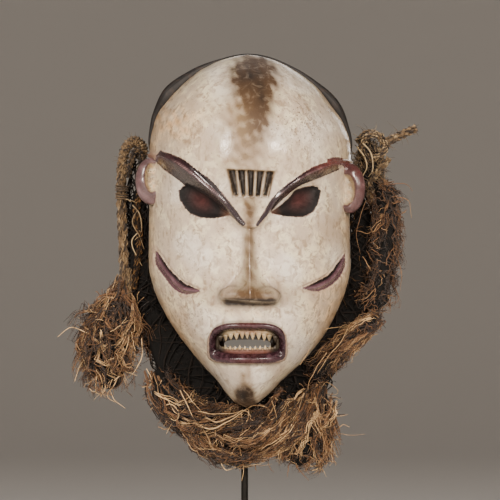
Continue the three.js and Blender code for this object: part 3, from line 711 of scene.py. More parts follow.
@dataclass(frozen=True)
class PlantFibre(Coating):
    """Dry raffia: slightly shiny flat fibres, each of its own tone, blotched by dried sap and smoke."""

    name: str
    dark: str
    middle: str
    pale: str
    rough: float = 0.6
    sheen: float = 0.15

    def sockets(self, f: Finish) -> dict[str, Value]:
        """Reads each strand's tone."""
        streak = f.add("TexNoise", {"Vector": f.place, "Scale": per_mm(3.0), "Detail": 3.0, "Roughness": 0.6})
        patch = f.add("TexNoise", {"Vector": f.place, "Scale": per_mm(14.0), "Detail": 2.0})
        tone = f.add("Attribute", out="Fac", attribute_name="tone")
        tone = f.add("Math", streak, 0.5, tone, operation="MULTIPLY_ADD")
        tone = f.add("Math", patch, 0.4, tone, operation="MULTIPLY_ADD")
        low = f.add("MapRange", tone, 0.45, 0.9, **SMOOTH)
        high = f.add("MapRange", tone, 0.85, 1.4, **SMOOTH)
        colour = f.add("Mix", {0: low, 6: self.dark, 7: self.middle}, **COLOUR)
        colour = f.add("Mix", {0: high, 6: colour, 7: self.pale}, **COLOUR)
        ribs = f.add("TexNoise", {"Vector": f.place, "Scale": per_mm(0.7), "Detail": 2.0})
        normal = f.add("Bump", {"Height": ribs, "Distance": 0.12 * MM})
        made = {"Base Color": colour, "Roughness": self.rough, "Normal": normal}
        return made | {"IOR": 1.46, "Sheen Weight": self.sheen}


@dataclass(frozen=True)
class WaxedSteel(Coating):
    """Black waxed steel of the stand: satin, with a faint brown bloom and fine rubbing."""

    name: str = "waxed_black_steel"
    black: str = "#15130F"
    bloom: str = "#2C241C"

    def sockets(self, f: Finish) -> dict[str, Value]:
        """Lays the nodes and returns what the shader gets."""
        clouds = {"Vector": f.place, "Scale": per_mm(18.0), "Detail": 4.0, "Roughness": 0.6}
        cloudy = f.add("TexNoise", clouds)
        rub = f.add("TexNoise", {"Vector": f.place, "Scale": per_mm(0.9), "Detail": 3.0})
        share = f.add("MapRange", cloudy, 0.42, 0.7, **SMOOTH)
        colour = f.add("Mix", {0: share, 6: self.black, 7: self.bloom}, **COLOUR)
        rough = f.add("MapRange", cloudy, 0.3, 0.7, 0.34, 0.52)
        normal = f.add("Bump", {"Height": rub, "Distance": 0.04 * MM})
        return {"Base Color": colour, "Roughness": rough, "Normal": normal, "Metallic": 0.6}


@dataclass(frozen=True)
class StudioPaper(Coating):
    """Plain pale seamless paper: matt and even."""

    name: str = "studio_paper"
    tone: str = "#CFCBC6"

    def sockets(self, f: Finish) -> dict[str, Value]:
        """Lays the nodes and returns what the shader gets."""
        fleck = f.add("TexNoise", {"Vector": f.place, "Scale": per_mm(4.0), "Detail": 2.0})
        rough = f.add("MapRange", fleck, 0.3, 0.7, 0.82, 0.9)
        return {"Base Color": self.tone, "Roughness": rough}


class Slot(Enum):
    """The record's material slots that the drawn pieces take."""

    WOOD = "painted_wood"
    ROPE = "rope"
    RAFFIA = "raffia"
    NET = "dark_net"


def settle(obj: Object, material: Material, nodes: list[str]) -> None:
    """Gives a finished piece its material and its body, hides the CAD nodes it stands for and logs its
    triangles.
    """
    if not obj.data.materials:
        obj.data.materials.append(material)
    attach(obj, "root")
    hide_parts(*nodes)
    faces = sum(len(polygon.vertices) - 2 for polygon in obj.data.polygons)
    log.info("%s: %d triangles", obj.name, faces)


# Mask


@dataclass
class Mouth:
    """The mouth's outline and the sizes of its lips and slot."""

    u: float = 2.4
    v: float = 54.6
    half_width: float = 32.2
    top: float = 18.4
    bottom: float = 15.8
    arch: float = 0.85
    square: float = 0.36
    lip_side: float = 4.0
    lip_upper: float = 6.0
    lip_lower: float = 6.8
    slot_half: float = 19.5
    slot_top: float = 3.9
    slot_bottom: float = 2.7
    slot_front: float = 104.0
    slot_back: float = 50.0
    recess: float = 6.5

    def sizes(self, inward: Array) -> tuple[Array, Array, Array]:
        """Returns the outline's half-width, top and bottom, from 0 at the lip's outside to 1 inside it."""
        return (
            self.half_width - self.lip_side * inward,
            self.top - self.lip_upper * inward,
            self.bottom - self.lip_lower * inward,
        )

    def outline(self, angle: Array, sizes: tuple) -> tuple[Array, Array]:
        """Returns the (u, v) places of an outline of the given sizes at each angle."""
        half, top, bottom = sizes
        cos, sin = np.cos(angle), np.sin(angle)
        power = np.where(sin >= 0, self.arch, self.square)
        tall = np.where(sin >= 0, top, bottom)
        u = self.u + half * np.sign(cos) * abs(cos) ** 0.5
        v = self.v + tall * np.sign(sin) * abs(sin) ** power
        return u, v

    def inward(self, u: Array, v: Array) -> Array:
        """Returns how far inside the lip's outer line places lie, about in millimetres."""
        up = v >= self.v
        tall = np.where(up, self.top, self.bottom)
        power = np.where(up, self.arch, self.square)
        across = np.minimum(1, abs(u - self.u) / self.half_width)
        sine = np.sqrt(np.maximum(0, 1 - across**4))
        room = tall * sine**power - abs(v - self.v)
        return np.minimum(room, self.half_width - abs(u - self.u))


@dataclass
class Head:
    """The carved and painted head: face, forehead, brows, eyes, nose, cuts and the hollow behind."""

    mouth: Mouth = field(default_factory=Mouth)
    columns: int = 216
    rows: int = 318
    hollow_rings: int = 15
    brow_ridge: float = 2.6
    brow_ridge_at: float = 0.22
    brow_foot: float = 0.8
    eye_depth: float = 8.5
    cut_depth: float = 2.4
    leaf_height: float = 1.3
    groove_count: int = 5
    panel_depth: float = 1.3
    groove_depth: float = 4.6
    groove_top: float = 0.5
    groove_foot: float = 0.36
    nose_top: float = 168.0
    nose_base: float = 93.0
    nose_slant: float = 4.5
    wing_lift: float = 9.0

    BROW_TOPS = [
        [(-71, 216.5), (-49.4, 205.5), (-32.5, 190), (-15.6, 174.6), (1.6, 154.5)],
        [(75, 209), (60.4, 203.6), (41.8, 192.6), (26.5, 179), (9, 154)],
    ]
    BROW_FEET = [
        [(-77.5, 211), (-63, 198.6), (-46, 187.4), (-24, 173.2), (-2.2, 153)],
        [(81.5, 202.8), (62, 193), (45, 185.4), (28.8, 172.4), (11.6, 153)],
    ]
    BROWS = [Band(*edges) for edges in zip(BROW_TOPS, BROW_FEET)]
    BROW_UPPER = Stations([(-96, 216), *BROW_TOPS[0], *BROW_TOPS[1][::-1], (104, 211)])
    BROW_LOWER = Stations([(-96, 211.5), *BROW_FEET[0], (4.5, 151.5), *BROW_FEET[1][::-1], (104, 205)])
    BRICK_ARCH = Band(
        [(70, 209.5), (77, 211.5), (85, 210), (92, 205)],
        [(70, 204), (77, 205.6), (84, 204.6), (90, 199)],
    )
    EYES = [
        Band(
            [(-53, 188.6), (-45, 187.2), (-34, 181.2), (-24, 172.4), (-13, 163.4)],
            [(-52, 184.5), (-49, 172.5), (-40, 161.8), (-27, 159.8), (-12.4, 162.4)],
        ),
        Band(
            [(62.4, 187.8), (54, 187.2), (44.5, 182.4), (34.8, 174), (22.4, 165)],
            [(62, 184), (57.6, 172), (48, 161.4), (36, 161.4), (21.8, 163.9)],
        ),
    ]
    CHEEK_CUTS = [
        Band(
            [(-76.8, 136.5), (-74, 119), (-67.5, 108.2), (-55, 96.4), (-33.4, 98.6)],
            [(-75.6, 137), (-69.6, 127), (-61, 116.8), (-48.5, 106), (-33, 99.6)],
        ),
        Band(
            [(86.2, 133), (83.6, 115.5), (76.5, 104.4), (63, 97.8), (45.2, 100.8)],
            [(85.2, 133.6), (79, 123.6), (70.6, 114.2), (58.6, 107.6), (45, 101.8)],
        ),
    ]
    BLOCK_TOP = [(-15, 200.5), (25.8, 198.8)]
    BLOCK_BOTTOM = [(-9.7, 177.5), (19.9, 177.3)]
    NOSE_WIDTHS = Stations([(0, 7), (0.35, 8), (0.6, 10), (0.74, 13.5), (0.84, 18), (0.92, 21), (1, 22)])
    NOSE_WINGS = [((-9.3, 95.4), (11.4, 7.6)), ((18.6, 94.6), (10.8, 7.8))]
    NOSE_LIFTS = Stations([(0, 2), (0.19, 5), (0.4, 7.6), (0.6, 10.4), (0.8, 14.5), (0.95, 18.5), (1, 18)])

    def nose_lift(self, u: Array, v: Array) -> Array:
        """Returns how far the nose stands off the face at each place."""
        s = (self.nose_top - v) / (self.nose_top - self.nose_base)
        t = np.clip(s, 0, 1)
        width = self.NOSE_WIDTHS(t)
        side = np.clip((u - FORM.centre(v)) / width, -1, 1)
        power = lerp(2.6, 1.15, ramp(0.55, 0.95, t))
        ridge = self.NOSE_LIFTS(t) * (1 - abs(side)) ** power
        lift = np.where(s < 0, 0, ridge) ** 3
        for _, off in self.wings(u, v):
            lift = lift + (self.wing_lift * np.clip(1 - off, 0, 1) ** 0.5) ** 3
        base = self.nose_base - 0.07 * (u - MIDDLE_U)
        return lift ** (1 / 3) * (1 - ramp(0, self.nose_slant, base - 0.6 - v))

    def wings(self, u: Array, v: Array) -> list[tuple[float, Array]]:
        """Returns each nose wing's u, and how far off it places lie, with 1 at its edge."""
        made = []
        for at, size in self.NOSE_WINGS:
            made.append((at[0], ((u - at[0]) / size[0]) ** 2 + ((v - at[1]) / size[1]) ** 2))
        return made

    def block(self, u: Array, v: Array) -> tuple[Array, Array, Array]:
        """Reads the notched block over the bridge of the nose.

        Returns:
            How far its panel is sunk, how deep its grooves are, and how far inside its edge each place is.
        """
        (left_top, high_left), (right_top, high_right) = self.BLOCK_TOP
        (left_bottom, low_left), (right_bottom, low_right) = self.BLOCK_BOTTOM
        share = np.clip((u - left_top) / (right_top - left_top), 0, 1)
        high = lerp(high_left, high_right, share)
        low = lerp(low_left, low_right, share)
        s = (high - v) / (high - low)
        left = lerp(left_top, left_bottom, np.clip(s, 0, 1))
        right = lerp(right_top, right_bottom, np.clip(s, 0, 1))
        a = (u - left) / (right - left)
        inside = np.minimum(np.minimum(u - left, right - u), np.minimum(high - v, v - low))
        sunk = ramp(-0.3, 0.7, inside) * self.panel_depth
        off = abs((np.clip(a, 0, 0.9999) * self.groove_count) % 1 - 0.5)
        wide = lerp(self.groove_top, self.groove_foot, np.clip(s, 0, 1))
        cut = ramp(1.0, 0.35, off / wide) * ramp(0.2, 1.4, inside)
        return sunk, cut * self.groove_depth, inside

    def front(self, u: Array, v: Array) -> Array:
        """Places the carved front of the head.

        Args:
            u: Places' u.
            v: Places' v.

        Returns:
            The (u, v, d) places, one row each.
        """
        swell = 0.35 * ripple(u, v, 34, 3) + 0.12 * ripple(u, v, 13, 4)
        top = self.BROW_UPPER(u)
        foot = self.BROW_LOWER(u)
        a = (top - v) / np.maximum(top - foot, 1.5)
        sunk, cut, _ = self.block(u, v)
        ridge = self.brow_ridge * ramp(-0.1, self.brow_ridge_at, a)
        ridge = ridge * ramp(-84, -74, u) * ramp(96, 84, u)
        above = FORM.lifted(u, v, swell + ridge - sunk - cut, FORM.forehead)
        crest_v = lerp(top, foot, self.brow_ridge_at)
        crest = FORM.lifted(u, crest_v, self.brow_ridge + swell, FORM.forehead)
        base = FORM.lifted(u, foot, self.brow_foot + swell)
        share = np.clip((a - self.brow_ridge_at) / (1 - self.brow_ridge_at), 0, 1)[:, None]
        facet = crest + (base - crest) * share
        below = FORM.lifted(u, v, self.face_lift(u, v, a) + swell)
        rounded = ramp(self.brow_ridge_at - 0.1, self.brow_ridge_at + 0.06, a)[:, None]
        settled = ramp(0.94, 1.06, a)[:, None]
        made = above * (1 - rounded) + facet * rounded
        return made * (1 - settled) + below * settled

    def face_lift(self, u: Array, v: Array, a: Array) -> Array:
        """Returns how far the face below the brows is carved up or down from its dome."""
        lift = self.brow_foot * np.exp(-np.maximum(0, a - 1) * 4)
        for eye in self.EYES:
            s, across, inside = eye.read(u, v)
            across = np.clip(across, 0, 1)
            bowl = np.sin(math.pi * np.minimum(1, 0.12 + across * 0.88)) ** 0.7
            bowl = bowl * np.sin(math.pi * (0.1 + 0.85 * s)) ** 0.6
            lift = lift - self.eye_depth * bowl * ramp(-0.35, 0.9, inside)
        for scar in self.CHEEK_CUTS:
            s, across, inside = scar.read(u, v)
            swell = np.sqrt(np.sin(math.pi * lerp(0.04, 0.96, s)))
            leaf = np.clip(1 - abs(across - 0.5) / 0.32, 0, 1)
            sunk = (self.cut_depth - (self.cut_depth + self.leaf_height) * leaf) * swell
            lift = lift - sunk * ramp(-0.3, 0.7, inside)
        inward = self.mouth.inward(u, v)
        lift = lift - self.mouth.recess * ramp(2.0, 5.0, inward)
        return lift + self.nose_lift(u, v)

    def build(self) -> Object:
        """Builds the head as one closed skin, hollow behind, with the mouth cut through.

        Returns:
            The object, unpainted.
        """
        bm, s, t = grid(self.columns, self.rows)
        side = 2 * s - 1
        side = lerp(side, np.sin(side * math.pi / 2), 0.5)
        rise = 2 * t - 1
        rise = lerp(rise, np.sin(rise * math.pi / 2), 0.35)
        v = HEAD_HEIGHT * (rise + 1) / 2
        u = self.fanned(FORM.centre(v) + FORM.half_width(v) * side, v)
        places = self.front(u, v)
        rim = abs(side) > 1 - 1e-9
        places[rim] = np.stack([u[rim], v[rim], np.zeros(rim.sum())], axis=-1)
        ends = (t < 1e-9) | (t > 1 - 1e-9)
        edge_depth = FORM.face(v) * np.sqrt(1 - np.minimum(1, abs(side)) ** SIDE_POWER)
        places[ends] = np.stack([u[ends], v[ends], edge_depth[ends]], axis=-1)
        close_up(bm, world(*places.T))
        self.hollow_out(bm)
        bmesh.ops.recalc_face_normals(bm, faces=bm.faces[:])
        obj = finished("mask_head", bm)
        return self.cut_mouth(obj)

    def fanned(self, u: Array, v: Array) -> Array:
        """Draws the grid's columns together so that they run along the block's slanting grooves."""
        (left_top, high), (right_top, _) = self.BLOCK_TOP
        (left_foot, low), (right_foot, _) = self.BLOCK_BOTTOM
        middle = (left_top + right_top + left_foot + right_foot) / 4
        narrowing = 1 - (right_foot - left_foot) / (right_top - left_top)
        down = np.clip((high - v) / (high - low), 0, 1) * ramp(low - 40, low - 6, v)
        return u - (u - middle) * narrowing * down * ramp(62, 23, abs(u - middle))

    def hollow_out(self, bm: BMesh) -> None:
        """Turns the rim inwards and draws the hollow's wall in rings to its middle."""
        edges = open_edges(bm)
        shares = [math.sin(j / self.hollow_rings * math.pi / 2) for j in range(self.hollow_rings, 0, -1)]
        for step, share in enumerate([shares[0], *shares]):
            edges, verts = extruded(bm, edges)
            flat = rows_of(verts) / MM
            angle, _ = FORM.polar(flat[:, 0], flat[:, 2] - CHIN_Z)
            distance = (FORM.reach(angle) - RIM_WALL) * share
            u, v = FORM.around(angle, distance)
            depth = FORM.hollow(u, v) + self.adze(angle, distance) if step > 1 else np.zeros_like(u)
            put(verts, world(u, v, depth))
        middle = (np.array(MIDDLE_U), np.array(MIDDLE_V))
        ring = {vertex for edge in edges for vertex in edge.verts}
        bmesh.ops.pointmerge(bm, verts=list(ring), merge_co=world(*middle, FORM.hollow(*middle)))

    @staticmethod
    def adze(angle: Array, distance: Array) -> Array:
        """Returns the depth of the hollow's tool marks, which only ever cut into the wood."""
        strokes = abs(np.sin(angle * 9 + np.floor(distance / SCOOP_LENGTH) * 1.7))
        scoops = abs(np.sin(distance / SCOOP_LENGTH * math.pi))
        return SCOOP_DEPTH * (strokes * scoops) ** 0.5

    def cut_mouth(self, obj: Object) -> Object:
        """Cuts the mouth's slot through the wall with a boolean.

        Returns:
            The same object with its new mesh.
        """
        sizes = (self.mouth.slot_half, self.mouth.slot_top, self.mouth.slot_bottom)

        def slot(s: Array, t: Array) -> Array:
            """Places the cutter's wall and its two ends."""
            u, v = self.mouth.outline(s * math.tau, sizes)
            middle = (t < 1e-6) | (t > 1 - 1e-6)
            u = np.where(middle, self.mouth.u, u)
            v = np.where(middle, self.mouth.v, v)
            return world(u, v, np.where(t < 0.5, self.mouth.slot_front, self.mouth.slot_back))

        cutter = swept("mouth_cutter", along=72, across=3, place=slot)
        modifier = obj.modifiers.new("mouth", "BOOLEAN")
        modifier.operation = "DIFFERENCE"
        modifier.solver = "MANIFOLD"
        modifier.object = cutter
        mesh = final_mesh(obj)
        obj.modifiers.clear()
        obj.data = mesh
        mesh.polygons.foreach_set("use_smooth", [True] * len(mesh.polygons))
        bpy.data.objects.remove(cutter)
        return obj

    def dress(self, obj: Object) -> None:
        """Stores where each paint, stain, wear, painted shade and painted highlight lies, and gives the head
        its two finishes.
        """
        u, v, d = places_of(obj.data)
        plum, paint_layers = self.plum_paint(u, v)
        paint(obj, "plum", plum)
        socket = np.zeros_like(u)
        for eye in self.EYES:
            socket = np.maximum(socket, eye.read(u, v)[2] > -0.3)
        shine = 0.12 * ramp(-0.5, 0.5, plum) - 0.2 * self.soil(obj, u, v)
        paint(obj, "gloss", np.where(socket > 0, -0.4, shine))
        paint(obj, "speckle", self.speckles(u, v))
        paint_colours(obj, "paint", paint_layers)
        obj.data.materials.clear()
        obj.data.materials.append(RubbedKaolin().material())
        obj.data.materials.append(AdzedWood().material())
        corners = np.empty(len(obj.data.loops), np.int32)
        obj.data.loops.foreach_get("vertex_index", corners)
        starts = np.empty(len(obj.data.polygons), np.int32)
        obj.data.polygons.foreach_get("loop_start", starts)
        outer = d > FORM.hollow(u, v) + PAINT_DEPTH
        bare = np.minimum.reduceat((~outer[corners]).astype(np.int32), starts)
        obj.data.polygons.foreach_set("material_index", bare)
        settle(obj, obj.data.materials[0], ["mask"])

    def plum_paint(self, u: Array, v: Array) -> tuple[Array, list]:
        """Lays out the plum paint of the brows, the eyes and the cheek cuts, with a painted highlight along
        each brow's crest and each cut's leaf, and painted shade in the cuts' grooves.

        Returns:
            How far inside the paint's edge each place is in millimetres, and the paint's colours as layers.
        """
        plum = np.full_like(u, -9.0)
        layers = [("#2E1E26", 1.0)]
        for redder, brow in enumerate(self.BROWS):
            s, a, inside = brow.read(u, v)
            on = inside > -1.2
            crease = 1.9 * peak(a, 1.04, 1 / 5.5) * ramp(0.1, 0.3, s)
            plum = np.maximum(plum, inside + 0.3 - crease * on)
            # Painted highlight: a narrow pale pink-white line along the brow's crest
            crest = peak(a, 0.3, 0.04) * ramp(0.1, 0.26, s) * ramp(0.9, 0.65, s)
            brick = on * ramp(0.5, 0.0, s) * ramp(0.8, 0.3, a) * (0.15 + 0.75 * redder)
            layers += [
                ("#120A0D", on * ramp(0.3, 0.0, a) * 0.9),
                ("#463C38", on * ramp(0.34, 0.5, a) * ramp(0.92, 0.6, s)),
                ("#1D1315", on * ramp(0.55, 0.95, a) * 0.75),
                # The painted crest highlight
                ("#C0A09F", on * crest * (0.55 + 0.4 * ripple(u, v, 7, 61))),
                ("#7C4640", brick * (0.8 + 0.3 * ripple(u, v, 6, 62))),
            ]
        _, _, inside = self.BRICK_ARCH.read(u, v)
        plum = np.maximum(plum, inside + 0.3)
        layers.append(("#7A4843", 0.9 * ramp(-0.6, 0.8, inside)))
        for eye in self.EYES:
            s, a, inside = eye.read(u, v)
            plum = np.maximum(plum, inside + 0.1)
            within = inside > -0.6
            layers += [
                ("#090505", within * 0.98),
                ("#4A120D", within * blob(s, a, (0.48, 0.4), (0.2, 0.28)) * 0.85),
                ("#6E4E3C", within * ramp(0.8, 1.0, s) * 0.8),
            ]
        for scar in self.CHEEK_CUTS:
            _, a, inside = scar.read(u, v)
            plum = np.maximum(plum, inside - 1.3)
            within = inside > -0.4
            layers += [
                ("#64464F", within * 1.0),
                # Painted shade: a near-black line down the inner side of the cut, where the leaf drops into
                # its groove
                ("#120A0C", within * ramp(0.6, 0.74, a)),
                # Painted highlight: a faint pale line along the leaf's raised middle
                ("#9C8086", within * peak(a, 0.47, 0.06) * 0.4),
            ]
        return plum, layers

    def soil(self, obj: Object, u: Array, v: Array) -> Array:
        """Stores the clay's colours with its warm clouds, and the stains, grime, painted shade and pink rubs
        that lie on it.

        Returns:
            How much of each place the stains cover.
        """
        broad = 0.5 + 0.5 * ripple(u, v, 46, 71)
        ragged = 1 + 0.3 * ripple(u, v, 9, 11)
        edge = ramp(0.84, 1.0, abs(u - FORM.centre(v)) / np.maximum(FORM.half_width(v), 1))
        ochre = 0.5 * edge + blobs(
            u, v, (1, (-60, 240), (22, 20)), (0.6, (70, 88), (18, 34)), (0.5, (72, 165), (12, 26)),
            (0.4, (-52, 70), (16, 26)), (0.6, (4, 80), (22, 8)), (0.7, (-4, 224), (16, 12)),
        )
        warm = ("#AE9069", 0.75 * ochre * ragged)
        paint_colours(obj, "clay", [("#CFBDA6", 1.0), ("#DDD0BE", 0.85 * ramp(0.4, 0.9, broad)), warm])
        pink = blobs(u, v, (1, (-80, 214), (6, 4)), (0.3, (84, 208), (9, 4)))
        for scar in self.CHEEK_CUTS:
            pink = pink + 0.35 * peak(scar.read(u, v)[2], -0.2, 0.9)
        crown = ((1.6, (8, 279), (19, 22)), (0.7, (13, 250), (11, 17)), (0.4, (9, 230), (13, 20)))
        ridge = ((0.45, (5, 166), (6.5, 15)), (0.4, (5, 130), (2.8, 36)))
        bridge_strip = peak(u, 4, 5.5) * ramp(100, 112, v) * ramp(190, 172, v)
        nose = blobs(u, v, (0.95, (5, 96), (33, 11)), (0.3, (5, 118), (9, 16)))
        chin = ((1.4, (0, 12), (8, 9)), (0.8, (1, 3), (12, 6)))
        sides = ((0.4, (-31, 56), (4, 10)), (0.3, (38, 50), (6, 16)))
        stain = blobs(u, v, *crown, *ridge, *chin, *sides) * ragged
        heart = ((0.8, (4, 281), (13, 12)), (1.1, (-0.5, 12), (6.5, 6.5)), (0.6, (14, 262), (5, 14)))
        deepest = blobs(u, v, *heart) * ragged
        _, cut, block_inside = self.block(u, v)
        # Near-black that grows the deeper the block's grooves are cut, joined below by the painted shade
        # under the nose, round the nose wings and lips and over the mouth's floor, and by the eyes' paint
        # chips
        grime = ramp(0.1, 0.6, cut / self.groove_depth)
        bridge = 0.55 * ramp(1.6, 0.0, abs(block_inside)) + 0.35 * (block_inside > 0)
        grime = np.maximum(grime, self.crevice_shade_and_chips(u, v))
        dirt = [
            ("#A8786A", 0.7 * pink * ragged),
            ("#7F684A", 0.9 * blob(u, v, (0, 230), (23, 42)) * ragged),
            ("#7A6142", (0.8 * bridge_strip + 0.75 * blob(u, v, (1, 28), (6.5, 14))) * ragged),
            ("#5F482F", nose * (0.7 + 0.3 * ragged)),
            ("#4C3722", ramp(0.04, 1.0, stain) * 0.96),
            ("#5A4427", bridge),
            ("#1E140B", 0.92 * deepest),
            # The near-black layer: groove darkening, painted shade in the crevices and the eyes' paint chips
            ("#1A110C", grime),
        ]
        paint_colours(obj, "dirt", dirt)
        return np.clip(stain + deepest, 0, 1)

    def crevice_shade_and_chips(self, u: Array, v: Array) -> Array:
        """Returns the painted shade under the nose, round the nose wings, along the lips' outer edge and over
        the mouth's sunk floor, where it is also dark stain, and the dark paint chips round the eyes' lower
        edges.
        """
        # Painted shade under the nose's base
        across = ramp(26, 19, abs(u - 4.5))
        under = 0.9 * across * ramp(95, 91.5, v) * ramp(84, 89, v)
        inward = self.mouth.inward(u, v)
        # Painted shade along the lips' outer edge, and painted shade with dark stain over the mouth's sunk
        # floor
        lip_and_mouth_shade = 0.5 * peak(inward, -0.6, 1.1) + ramp(2.5, 4.5, inward)
        made = np.maximum(under, lip_and_mouth_shade)
        # Painted shade in a soft ring round each nose wing's outer edge
        for wing_u, off in self.wings(u, v):
            outward = ramp(-0.2, 0.6, (u - MIDDLE_U) * np.sign(wing_u - MIDDLE_U) / 26)
            made = np.maximum(made, 0.3 * peak(off, 1.15, 0.28) * outward)
        # Dark paint chips along each eye's lower edge
        for eye in self.EYES:
            s, a, inside = eye.read(u, v)
            crumbs = peak(inside, -0.4, 0.5) * ramp(0.8, 1.0, a) * ramp(0.15, 0.5, s)
            made = np.maximum(made, crumbs * (0.35 + 0.6 * ripple(u, v, 2.4, 63)))
        return made

    def speckles(self, u: Array, v: Array) -> Array:
        """Returns how thick the dark flecks lie."""
        patches = ((0.8, (49, 240), (20, 26)), (0.6, (-48, 80), (14, 30)), (0.45, (60, 60), (14, 26)))
        return np.clip(0.16 + blobs(u, v, *patches), 0, 1)


@dataclass
class Teeth:
    """One row of teeth: its root's height over the mouth's middle, how far it bows and its teeth's sizes."""

    count: int
    root: float
    bow: float
    length: float
    radius: float


@dataclass
class MouthParts:
    """Lips, gums and teeth."""

    mouth: Mouth = field(default_factory=Mouth)
    lip_height: float = 4.4
    gum_middle: float = 1.25
    gum_half: float = 0.4
    upper: Teeth = field(default_factory=lambda: Teeth(11, 10.2, 0.42, 6.4, 2.55))
    lower: Teeth = field(default_factory=lambda: Teeth(12, -5.2, 0.0, 3.4, 1.8))

    LIP_PROFILE = [
        (0.0, -1.0), (0.0, 0.1), (0.03, 0.45), (0.14, 0.8), (0.32, 0.98), (0.5, 1.0), (0.68, 0.96),
        (0.84, 0.78), (0.95, 0.4), (1.0, 0.0), (1.02, -0.6), (1.02, -1.6), (0.4, -1.6), (0.0, -1.0),
    ]

    def lips(self) -> Object:
        """Builds the lips as one closed ring of thick round paint-covered wood.

        Returns:
            The object.
        """
        inward = np.array([share for share, _ in self.LIP_PROFILE])
        lift = np.array([share for _, share in self.LIP_PROFILE]) * self.lip_height
        places = np.arange(len(inward)) / (len(inward) - 1)

        def place(s: Array, t: Array) -> Array:
            """Places the lips' skin."""
            share = np.interp(t, places, inward)
            u, v = self.mouth.outline(s * math.tau, self.mouth.sizes(share))
            rise = np.interp(t, places, lift) + 0.15 * ripple(u, v, 11, 21)
            return world(*FORM.lifted(u, v, rise).T)

        obj = swept("mask_lips", along=168, across=39, place=place)
        u, v, _ = places_of(obj.data)
        middle = blob(u, v, (self.mouth.u, self.mouth.v), (12, 40))
        edge = self.mouth.inward(u, v)
        corners = ramp(24, 31, abs(u - self.mouth.u))
        layers = [
            ("#381D26", 1.0),
            ("#25141B", 0.7 * corners),
            ("#431512", 0.85 * middle),
            ("#1D0F13", 0.6 * ramp(2.5, 4.5, edge)),
            ("#A8907A", 0.8 * ramp(0.2, -0.6, edge + 0.4 * ripple(u, v, 4, 24))),
        ]
        paint_colours(obj, "paint", layers)
        settle(obj, LipPaint().material(), ["mask"])
        return obj

    def gums(self) -> Object:
        """Builds the band that the teeth stand on, all round inside the lips.

        Returns:
            The object.
        """

        def place(s: Array, t: Array) -> Array:
            """Places the band's skin."""
            turn = t * math.tau
            share = self.gum_middle + self.gum_half * np.cos(turn)
            u, v = self.mouth.outline(s * math.tau, self.mouth.sizes(share))
            return world(*FORM.lifted(u, v, -3.4 + 1.6 * np.sin(turn) + 0.15 * ripple(u, v, 5, 23)).T)

        obj = swept("mask_gums", along=144, across=12, place=place)
        self.dress_gums(obj)
        return obj

    def dress_gums(self, obj: Object) -> None:
        """Stores the gums' and teeth's colours, redder below and darkened at the sides by painted shade, and
        gives them paint.
        """
        u, v, _ = places_of(obj.data)
        low = ramp(2, -3, v - self.mouth.v)
        near_gum = ramp(3.5, 6.0, abs(v - self.mouth.v - 0.5))
        layers = [
            ("#B5A380", 1.0),
            ("#683238", 0.85 * low * near_gum),
            ("#773C3B", 0.6 * blob(u, v, (4, 66), (11, 3.5))),
            # Painted shade: near-black towards the mouth's side walls
            ("#140B07", 0.95 * ramp(14, 23, abs(u - self.mouth.u))),
        ]
        paint_colours(obj, "paint", layers)
        settle(obj, OldIvoryPaint().material(), ["mask"])

    def teeth(self) -> Object:
        """Builds the two rows of filed teeth as slim cones, joined in one mesh.

        Returns:
            The object.
        """
        bm = bmesh.new()
        rng = np.random.default_rng(31)
        half, _, _ = self.mouth.sizes(np.array(1.0))
        for row in (self.upper, self.lower):
            for i in range(row.count):
                share = (i + 0.5) / row.count * 2 - 1
                u = self.mouth.u + share * (half - 1.5) + rng.uniform(-0.3, 0.3)
                root = self.mouth.v + row.root * (1 - row.bow * share * share)
                tall = row.length * rng.uniform(0.85, 1.1)
                self.tooth(bm, u, root, -math.copysign(tall, row.root), row.radius * rng.uniform(0.9, 1.05))
        obj = finished("mask_teeth", bm)
        self.dress_gums(obj)
        return obj

    def tooth(self, bm: BMesh, u: float, v: float, length: float, radius: float) -> None:
        """Adds one tooth.

        Args:
            bm: The mesh that it joins.
            u: Its middle.
            v: The height of its root.
            length: How far its tip is above the root, negative for one that hangs.
            radius: Half its width at the root.
        """
        count = len(bm.verts)
        made = bmesh.ops.create_cone(bm, cap_ends=True, segments=12, radius1=1, radius2=0.08, depth=1)
        edges = {edge for vertex in made["verts"] for edge in vertex.link_edges}
        uprights = [edge for edge in edges if abs(edge.verts[0].co.z - edge.verts[1].co.z) > 0.5]
        bmesh.ops.subdivide_edges(bm, edges=uprights, cuts=3)
        bm.verts.ensure_lookup_table()
        verts = bm.verts[count:]
        flat = rows_of(verts)
        along = flat[:, 2] + 0.5
        plump = 1 + 0.12 * np.sin(math.pi * along)
        across = u + flat[:, 0] * radius * plump
        lift = -2.2 - flat[:, 1] * radius * 0.75 * plump - along * 0.6
        put(verts, world(*FORM.lifted(across, v + along * length, lift).T))
        if length < 0:
            bmesh.ops.reverse_faces(bm, faces=list({face for vertex in verts for face in vertex.link_faces}))


